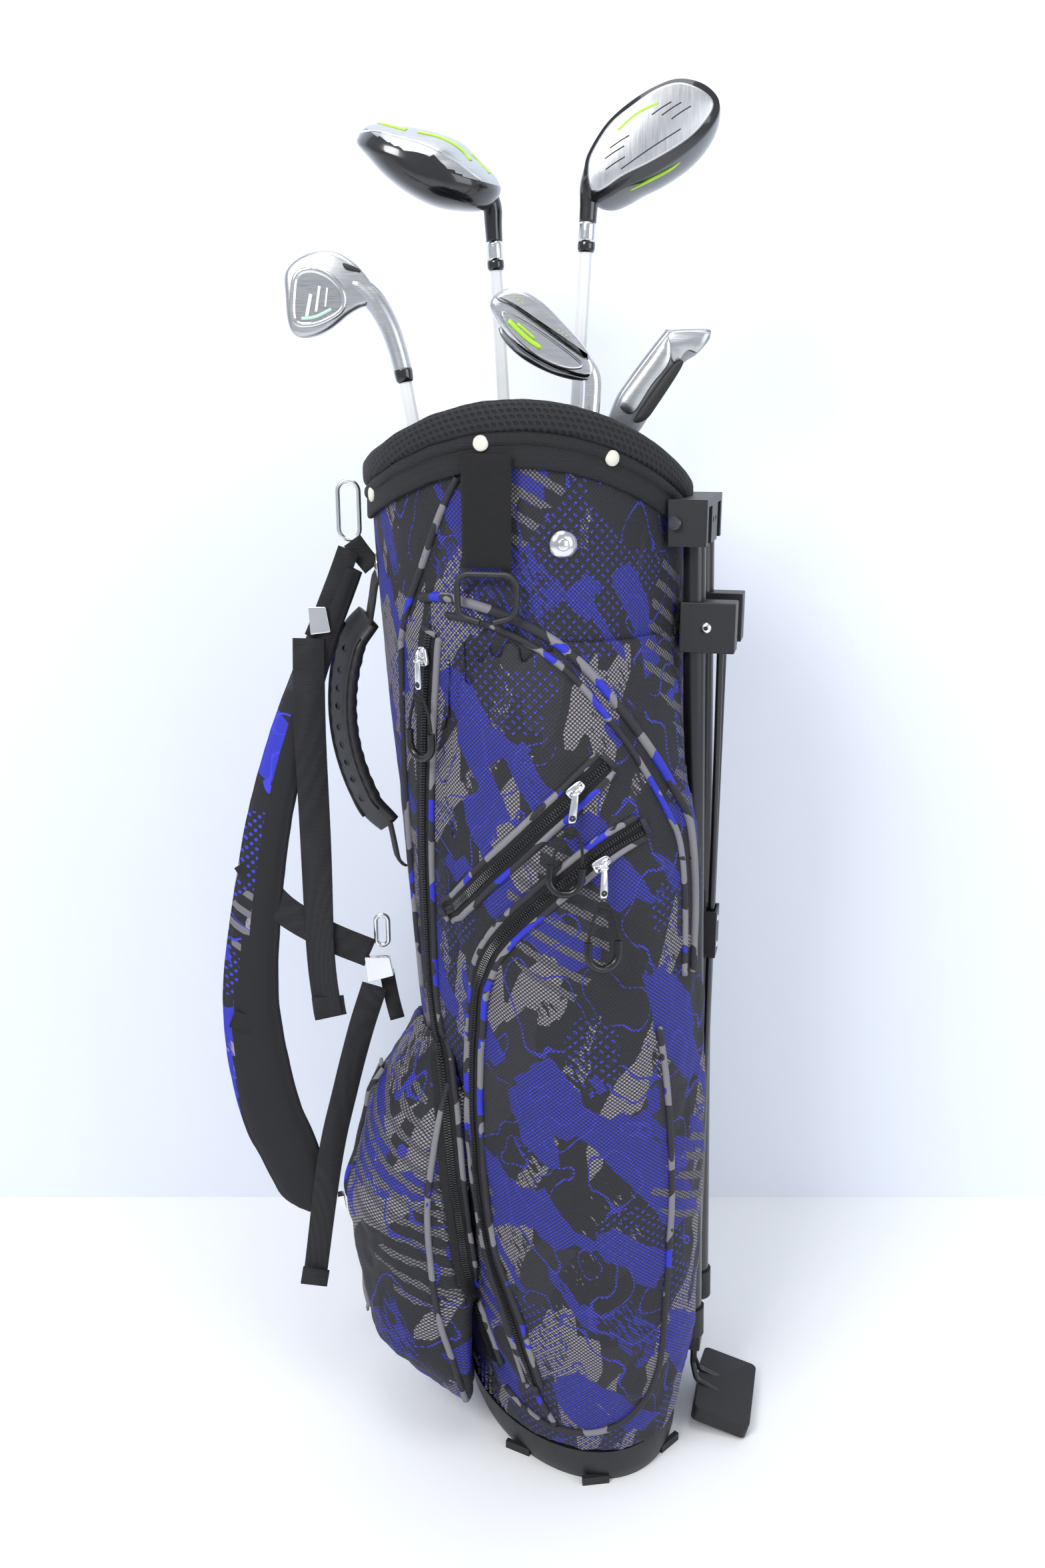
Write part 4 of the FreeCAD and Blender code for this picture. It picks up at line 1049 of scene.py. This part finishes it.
def club_frame(name):
    """The place and turn of a club: its neck, with Z up the shaft."""
    neck, butt = (Vector(p) / 1000 for p in CLUBS[name])
    return Matrix.Translation(neck) @ Vector((0, 0, 1)).rotation_difference(neck - butt).to_matrix().to_4x4()


def at_club(name, points):
    """Points in a club's own millimetres, brought into the bag's frame."""
    place = club_frame(name)
    return [place @ (Vector(p) / 1000) for p in points]


def closed_flow(points, count=90):
    """A smooth closed line of evenly spaced points in millimetres."""
    pts = [Vector((x, z)) for x, z in points]
    n, line = len(pts), []
    for i in range(n):
        a, b, c, d = pts[i - 1], pts[i], pts[(i + 1) % n], pts[(i + 2) % n]
        for k in range(12):
            t = k / 12
            line.append(0.5 * (2 * b + (c - a) * t + (2 * a - 5 * b + 4 * c - d) * t * t
                               + (3 * b - a - 3 * c + d) * t ** 3))
    total = [0.0]
    for a, b in zip(line, line[1:] + line[:1]):
        total.append(total[-1] + (b - a).length)
    result = []
    for i in range(count):
        want = total[-1] * i / count
        j = min(int(np.searchsorted(total, want, side="right")) - 1, len(line) - 1)
        part = (want - total[j]) / max(total[j + 1] - total[j], 1e-9)
        result.append(line[j].lerp(line[(j + 1) % len(line)], part))
    area = sum(a.x * b.y - b.x * a.y for a, b in zip(result, result[1:] + result[:1]))
    return result if area > 0 else result[::-1]


def inset(line, amount):
    """The closed line moved inwards, with its corners kept soft."""
    result, n = [], len(line)
    for i in range(n):
        along = (line[(i + 2) % n] - line[i - 2]).normalized()
        result.append(line[i] + Vector((-along.y, along.x)) * amount)
    return result


print("clubs:", list(CLUBS))

# %% [markdown]
# Three builders make every head: a slab with softened edges from an outline, a round limb for a
# neck, and a thin line for paint and score lines.


# %% Slabs, limbs and lines
def slab(club, name, outline, rings, finish, smooth=True):
    """Rings of (inset, y) from back to front, joined and capped."""
    base = closed_flow(outline)
    points = [(p.x, y, p.y) for amount, y in rings for p in inset(base, amount)]
    faces = skinned(len(rings), len(base))
    return piece(name, at_club(club, points), faces, finish, club, smooth)


def rounded(back, front, edge):
    """Rings for a slab with rounded edges between two depths; front is nearer the pockets."""
    return [(edge, back), (edge * 0.3, back - edge * 0.3), (0, back - edge), (0, front + edge),
            (edge * 0.3, front + edge * 0.3), (edge, front)]


def limb(club, name, route, radii, finish, count=20):
    """A round bar along a route in the club's frame, in millimetres, with a radius at each point."""
    line = flow([Vector(p) / 1000 for p in route], 0.002)
    share = np.linspace(0, 1, len(radii))
    place = club_frame(club)
    line = [place @ p for p in line]
    return swept(name, line, round_section(0.001, count), finish, club,
                 taper=lambda t: float(np.interp(t, share, radii)))


def paint_section(half, rise):
    """The flat six-sided section of a line of paint."""
    return [(half * c, rise * s) for c, s in ((-1, 0), (-0.6, 1), (0.6, 1), (1, 0), (0.6, -1), (-0.6, -1))]


def line_on(club, name, route, y, radius, finish):
    """A thin painted or cut line on the flat front of a head."""
    line = flow([(a / 1000, 0, b / 1000) for a, b in route], 0.002)
    line = at_club(club, [(p.x * 1000, y, p.z * 1000) for p in line])
    front = club_frame(club).to_3x3() @ Vector((0, -1, 0))
    return swept(name, line, paint_section(radius / 1000, radius * 0.25 / 1000), finish, club,
                 [front] * len(line))


print("head builders ready")

# %% [markdown]
# A wood's neck carries a bright collar and a black ferrule where the shaft goes in; an iron has
# the ferrule alone. They are turned parts, so each is a round bar with a radius at each point.


# %% Necks, collars and ferrules
made_heads = {name: [] for name in CLUBS}
for name in ("driver", "fairway_wood"):
    lean = 3 if name == "fairway_wood" else -4
    made_heads[name] += [
        limb(name, name + "_neck", [(0, 0, 6), (0, 0, 20), (0, 0, 30), (lean, 0, 40)],
             [6.3, 6.6, 7.2, 8.6], CROWN),
        limb(name, name + "_collar", [(0, 0, -7), (0, 0, 0), (0, 0, 6.4)], [6.3, 6.4, 6.3], POLISHED),
        limb(name, name + "_ferrule", [(0, 0, -14), (0, 0, -12), (0, 0, -8.5), (0, 0, -6.9)], [5.4, 6.4, 6.5, 6.1],
             FERRULE)]
for name in ("iron", "wedge"):
    made_heads[name].append(limb(name, name + "_ferrule", [(0, 0, -8), (0, 0, -6), (0, 0, -1), (0, 0, 1)],
                                 [5.2, 6.2, 6.6, 6.4], FERRULE))


print("necks and ferrules:", sum(len(things) for things in made_heads.values()))

# %% [markdown]
# A wood's head is a thin hollow shell that bulges behind its outline. Rings that shrink and shift
# with depth give the bulge, and the faces that look towards the sole take the brushed metal, so
# the edge between paint and metal follows the form.


# %% Builder for the woods
def bulge(club, name, outline, depth, shift, face_y, sole_way, away=1, share=0.0):
    """A body behind an outline: rings shrink and shift with depth; the side facing sole_way is metal."""
    count, steps = 110, 16
    base, points = closed_flow(outline, count), []
    middle = sum(base, Vector((0, 0))) / count
    for k in range(steps):
        turned = math.pi / 2 * k / (steps - 1)
        scale, deep = max(math.cos(turned) ** 0.75, 0.02), math.sin(turned)
        points += [(middle.x + (p.x - middle.x) * scale + shift[0] * deep, face_y + away * depth * deep,
                    middle.y + (p.y - middle.y) * scale + shift[1] * deep) for p in base]
    thing = piece(name, at_club(club, points), skinned(steps, count), CROWN, club)
    bm = bmesh.new()
    bm.from_mesh(thing.data)
    bmesh.ops.recalc_face_normals(bm, faces=bm.faces)
    bm.to_mesh(thing.data)
    bm.free()
    thing.data.materials.append(SATIN)
    back = club_frame(club).to_3x3().inverted()
    way = Vector(sole_way).normalized()
    for face in thing.data.polygons:
        if (back @ face.normal).dot(way) > share:
            face.material_index = 1
    return thing


def paint_over(club, name, target, route, out, radius, finish):
    """A painted line laid on a head by rays in the club's own frame."""
    tree = tree_of(target)
    place = club_frame(club)
    way = place.to_3x3() @ Vector((0, 1, 0))
    spots, outs = [], []
    for spot in flow([Vector((a, 0, b)) / 1000 for a, b in route], 0.0015):
        hit, normal, _, _ = tree.ray_cast(place @ spot - way * 0.2, way)
        if hit is not None:
            spots.append(hit + normal * out)
            outs.append(normal)
    return swept(name, spots, paint_section(radius, radius * 0.3), finish, club, outs)


print("bulge and paint_over ready")

# %% [markdown]
# The driver shows its back: a black crown with a metal sole, lime arcs and a bright edge line.

# %% Driver
DRIVER = [
    (-94, 82), (-88, 88), (-80, 90), (-66, 88), (-45, 84), (-21, 75), (-8, 62), (2, 52), (7, 42),
    (4, 34), (-6, 27), (-22, 27), (-41, 31), (-60, 41), (-76, 54), (-88, 68), (-95, 77)]
made_heads["driver"] += [
    bulge("driver", "driver_body", DRIVER, 44, (-6, -5), -14, (0.42, -0.28, 0.86), -1, share=0.60),
    bulge("driver", "driver_back", DRIVER, 20, (0, 4), -14.1, (0.42, 0.1, 0.9), 1, share=0.1),
]
driver_body = made_heads["driver"][3]
DRIVER_PAINT = (
    ("driver_arc_0", [(-78, 88), (-66, 83), (-58, 80)], 0.0002, 0.0022, LIME),
    ("driver_arc_1", [(-50, 78), (-34, 74), (-20, 66), (-13, 58)], 0.0002, 0.0020, LIME),
    ("driver_arc_2", [(-13, 65), (-6, 58), (0, 50)], 0.0002, 0.0014, LIME),
    ("driver_edge", [(-92, 82), (-78, 79), (-60, 73), (-44, 67), (-28, 58), (-16, 50), (-6, 43)],
     0.0001, 0.0011, POLISHED),
)
for name, route, out, radius, finish in DRIVER_PAINT:
    made_heads["driver"].append(paint_over("driver", name, driver_body, route, out, radius, finish))
print("driver pieces:", len(made_heads["driver"]))

# %% [markdown]
# The fairway wood shows its face: brushed metal with score lines, in front of a black body.


# %% Fairway wood
FACE = [
    (-2.6, 42), (0, 52), (11, 70), (26, 83), (42, 94), (58, 99), (74, 95), (83, 86.5), (77, 73.6),
    (64, 61), (42, 47), (23, 37), (11, 28.5), (3, 25), (-1.5, 31)]
BODY = [
    (-5, 42), (-2, 53), (9, 71), (24, 85), (41, 96), (58, 102), (76, 99), (87, 89), (84, 76),
    (70, 60), (46, 43), (25, 32), (12, 24), (2, 20), (-4, 29)]
made_heads["fairway_wood"] += [
    bulge("fairway_wood", "fairway_body", BODY, 52, (16, -14), -9, (-0.5, -0.1, 0.86), share=0.35),
    slab("fairway_wood", "fairway_face", FACE, rounded(-8, -13, 1.6), FACE_STEEL),
    # The low line is a near-black stroke of painted shade for a groove that is not cut.
    line_on("fairway_wood", "fairway_low_line", [(21, 41), (40, 55), (61, 69)], -13, 0.45, GROOVE_SHADE),
    line_on("fairway_wood", "fairway_lime_line", [(17, 66), (29, 77), (44, 85)], -13, 0.8, LIME),
]
# Score lines: near-black strokes of painted shade for grooves that are not cut.
for k, (x, z) in enumerate(((10, 40), (9, 47), (12, 54), (40, 77), (47, 77), (54, 75))):
    made_heads["fairway_wood"].append(line_on(
        "fairway_wood", f"fairway_score_{k}", [(x, z), (x + 6, z + 4.5), (x + 13, z + 9)], -13, 0.45, GROOVE_SHADE))

made_heads["fairway_wood"].append(limb("fairway_wood", "fairway_lime_arc", [(29, -2, 29), (43, 0, 37), (58, 2, 46),
                                       (70, 3, 57)], [0.5, 1.3, 1.3, 0.5], LIME, 8))
print("fairway wood pieces:", len(made_heads["fairway_wood"]))

# %% [markdown]
# An iron is a forged slab with a hollow back. The rim, badge and marks are thin slabs and lines
# set on it, and its marks are plain strokes.


# %% Iron
PALE_GREEN = plain("pale_green", (0.45, 0.66, 0.55), 0.4)
IRON = [
    (-66, 78), (-51, 86), (-33, 85), (-20, 76), (-12, 64), (-9, 54), (-14, 47), (-21, 46), (-30, 43),
    (-44, 36), (-57, 33), (-68, 35), (-72, 44), (-70, 62)]
CAVITY = [
    (-66, 46), (-63, 62), (-58, 73), (-48, 74), (-38, 68), (-32, 58), (-34, 48), (-46, 43),
    (-58, 42)]
made_heads["iron"] += [
    slab("iron", "iron_blade", IRON, rounded(6, -6.5, 3.2), SATIN),
    slab("iron", "iron_rim", CAVITY, [(-3.4, -6.4), (-2.6, -7.4), (-1, -7.6), (0, -7.2), (0.4, -6.6)], POLISHED),
    slab("iron", "iron_badge", CAVITY, [(0.6, -6.0), (0.8, -6.75)], GREY_STEEL, smooth=False),
    limb("iron", "iron_hosel", [(0, 0, 0), (-1, 0, 14), (-4, 0, 32), (-11, 0, 50), (-22, 0, 62), (-36, 0, 68)],
         [6.3, 6.4, 6.8, 7.4, 7.0, 4.0], SATIN),
    # The notch is a near-black slab of painted shade, not a cut.
    slab("iron", "iron_notch", [(-26, 76), (-17, 71), (-16, 68), (-25, 71)], [(0, -5), (0.3, -6.9)], GROOVE_SHADE),
    line_on("iron", "iron_stripe_0", [(-62, 45.5), (-52, 45), (-40, 48)], -6.9, 1.2, PALE_GREEN),
    line_on("iron", "iron_stripe_1", [(-58, 46), (-55, 53), (-52, 60)], -7.1, 1.3, WHITE_MARK),
    line_on("iron", "iron_stripe_2", [(-51, 48), (-48, 56), (-45, 64)], -7.1, 1.0, WHITE_MARK),
    line_on("iron", "iron_stripe_3", [(-44, 50), (-42, 56), (-40, 62)], -7.1, 0.7, WHITE_MARK),
]
print("iron pieces:", len(made_heads["iron"]))

# %% [markdown]
# The wedge shows its polished back and a wide sole. It is made as the iron is, of stacked slabs
# with softened edges.


# %% Wedge
WEDGE = [
    (-69, 74), (-63, 80), (-55, 82.5), (-45, 81), (-31, 72), (-13, 55), (-2, 42), (3, 30), (-2, 24),
    (-14, 26), (-29, 32), (-45, 41), (-57, 52), (-66, 65)]
SOLE = [
    (-65, 76), (-57, 81), (-45, 79.5), (-31, 70.5), (-13, 53), (-3, 40), (-2, 36), (-14, 44),
    (-34, 57), (-52, 69)]
HOLLOW = [
    (-60, 67), (-48, 62), (-30, 51), (-12, 38), (-6, 32), (-16, 31), (-32, 37), (-46, 47), (-56, 58)]
LOW_EDGE = [
    (-62, 58), (-46, 42), (-30, 33), (-14, 27), (-2, 25), (0, 22.5), (-14, 24), (-30, 29), (-47, 38),
    (-60, 50)]
made_heads["wedge"] += [
    slab("wedge", "wedge_blade", WEDGE, rounded(7, -7, 3.2), POLISHED),
    slab("wedge", "wedge_sole", SOLE, [(0, -5), (0.4, -8.2), (1.6, -9.2), (3.0, -9.4)], SATIN),
    slab("wedge", "wedge_hollow", HOLLOW, [(-1.2, -6.9), (-0.2, -7.7), (0.4, -7.1), (0.9, -6.9)], SATIN),
    slab("wedge", "wedge_edge", LOW_EDGE, [(0, 5), (0.3, -5.5)], GREY_STEEL),
    limb("wedge", "wedge_hosel", [(0, 0, 0), (1, 0, 12), (1, 0, 24), (-3, 0, 34), (-10, 0, 42), (-22, 0, 50)],
         [6.3, 6.3, 6.4, 6.4, 5.6, 3.0], POLISHED),
    line_on("wedge", "wedge_lime_0", [(-56, 62), (-50, 56), (-42, 49), (-34, 44)], -7.4, 1.7, LIME),
    line_on("wedge", "wedge_lime_1", [(-50, 60), (-44, 55), (-38, 50)], -7.4, 0.9, LIME),
]
for k in range(6):
    x = -52 + 2.6 * k + (22 if k > 2 else 0)
    z = 77 - 0.72 * (x + 52)
    made_heads["wedge"].append(line_on("wedge", f"wedge_dot_{k}", [(x, z), (x + 0.6, z - 0.4)], -9.5, 0.6, LIME))
print("wedge pieces:", len(made_heads["wedge"]))

# %% [markdown]
# The putter is a narrow blade seen from its end. All five heads are then joined, one object for
# each club, so that each stands for one CAD head and rides its own club.


# %% Putter, and the heads joined
PUTTER = [
    (-16, -12), (-9, 10), (0, 24), (12, 40), (25, 56), (28, 57), (54, 57.5), (56, 55), (55, 50),
    (47, 41), (38, 35), (31, 23), (20, 8), (10, -8), (-2, -24), (-12, -24)]
made_heads["putter"] += [
    slab("putter", "putter_blade", PUTTER, rounded(6, -8, 2.0), GREY_STEEL),
    slab("putter", "putter_face", [(-6, 10), (3, 23), (15, 39), (26, 53), (28, 36), (16, 20), (4, 2), (-4, 3)],
         [(0, -6), (0.2, -10), (1.2, -11)], SATIN),
    slab("putter", "putter_end", [(27, 55), (53, 56), (54, 51), (47, 42), (40, 43), (34, 36), (29, 37)],
         [(0, -6), (0.2, -9), (1.2, -9.8)], SATIN),
    slab("putter", "putter_under", [(30, 34), (37, 34), (20, 7), (12, -3), (4, -4), (12, 10)],
         [(0, -5), (0.2, -12), (1.0, -13)], RUBBER),
]
for name, things in made_heads.items():
    head = join(things, name + "_head_shaped")
    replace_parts(head, name + "_head")
print("heads", list(made_heads))

# %% [markdown]
# ## Stage and camera
# A white floor meets a pale wall. The wall is clear from behind, by the Backfacing output, so that
# the back of the bag can be seen too.


# %% Floor and wall
def stage_plane(name, corners, finish):
    made = bpy.data.meshes.new(name)
    made.from_pydata(corners, [], [(0, 1, 2, 3)])
    plane = bpy.data.objects.new(name, made)
    bpy.context.scene.collection.objects.link(plane)
    plane.data.materials.append(finish)
    return plane


WALL_AT, REACH, WALL_TALL = 0.285, 6, 5


def stage_finish(name, colour, drift, rough, one_way=False):
    f = Finish(name, rough=rough)
    patch = f.noise(1.2, detail=1).ramp(0.3, 0.7)
    made = f.done(patch.choose(colour, tuple(c + drift for c in colour)))
    if one_way:
        f.feed(f.bsdf.inputs["Alpha"], 1 - f.node("ShaderNodeNewGeometry", {}, out="Backfacing"))
    return made


floor_finish = stage_finish("floor_white", (0.86, 0.865, 0.87), 0.012, 0.5)
wall_finish = stage_finish("wall_pale", (0.79, 0.83, 0.90), 0.012, 0.9, one_way=True)
corners = ((-REACH, -REACH), (REACH, -REACH), (REACH, REACH), (-REACH, REACH))
floor = stage_plane("floor", [(x, y, 0) for x, y in corners], floor_finish)
corners = ((-REACH, 0), (REACH, 0), (REACH, WALL_TALL), (-REACH, WALL_TALL))
wall = stage_plane("wall", [(x, WALL_AT, z) for x, z in corners], wall_finish)
print("stage:", floor.name, wall.name)

# %% [markdown]
# Three soft lamps light it: a key from the upper left front, a weak fill on the right and one
# overhead. Area lamps keep the shadows broad, as in a bright room.


# %% Lamps and world
def lamp(name, at, aim, size, power, colour=(1, 1, 1)):
    light = bpy.data.lights.new(name, "AREA")
    light.size, light.energy, light.color = size, power, colour
    thing = bpy.data.objects.new(name, light)
    thing.location = at
    thing.rotation_euler = (Vector(aim) - Vector(at)).to_track_quat("-Z", "Y").to_euler()
    bpy.context.scene.collection.objects.link(thing)
    return thing


lamp("key", (-1.0, -1.5, 1.9), (0, 0, 0.5), 0.8, 32)
lamp("fill", (1.4, -1.2, 1.0), (0, 0, 0.5), 1.2, 12, (0.96, 0.98, 1.0))
lamp("top", (0.0, -0.5, 2.6), (0, 0.1, 0.3), 1.2, 14)

world = bpy.data.worlds.new("world")
bpy.context.scene.world = world
world.use_nodes = True
sky = world.node_tree.nodes["Background"]
sky.inputs["Color"].default_value = (0.88, 0.92, 1.0, 1)
sky.inputs["Strength"].default_value = 0.62
bpy.context.scene.view_settings.view_transform = "Standard"
print("lamps: 3")

# %% [markdown]
# The camera stands a metre in front, a little above the middle, and looks down. Its lens is wide
# enough to show the perspective of a tall thing seen from close by.


# %% Camera
CAMERA_TILT = 15.72
camera = bpy.data.objects.new("camera", bpy.data.cameras.new("camera"))
bpy.context.scene.collection.objects.link(camera)
camera.data.sensor_width = 36
camera.data.lens = 30.23
camera.data.clip_start = 0.05
camera.location = (-0.043, -1.0, 0.839)
camera.rotation_euler = (math.radians(90 - CAMERA_TILT), 0, 0)
bpy.context.scene.camera = camera
print("camera lens", camera.data.lens)
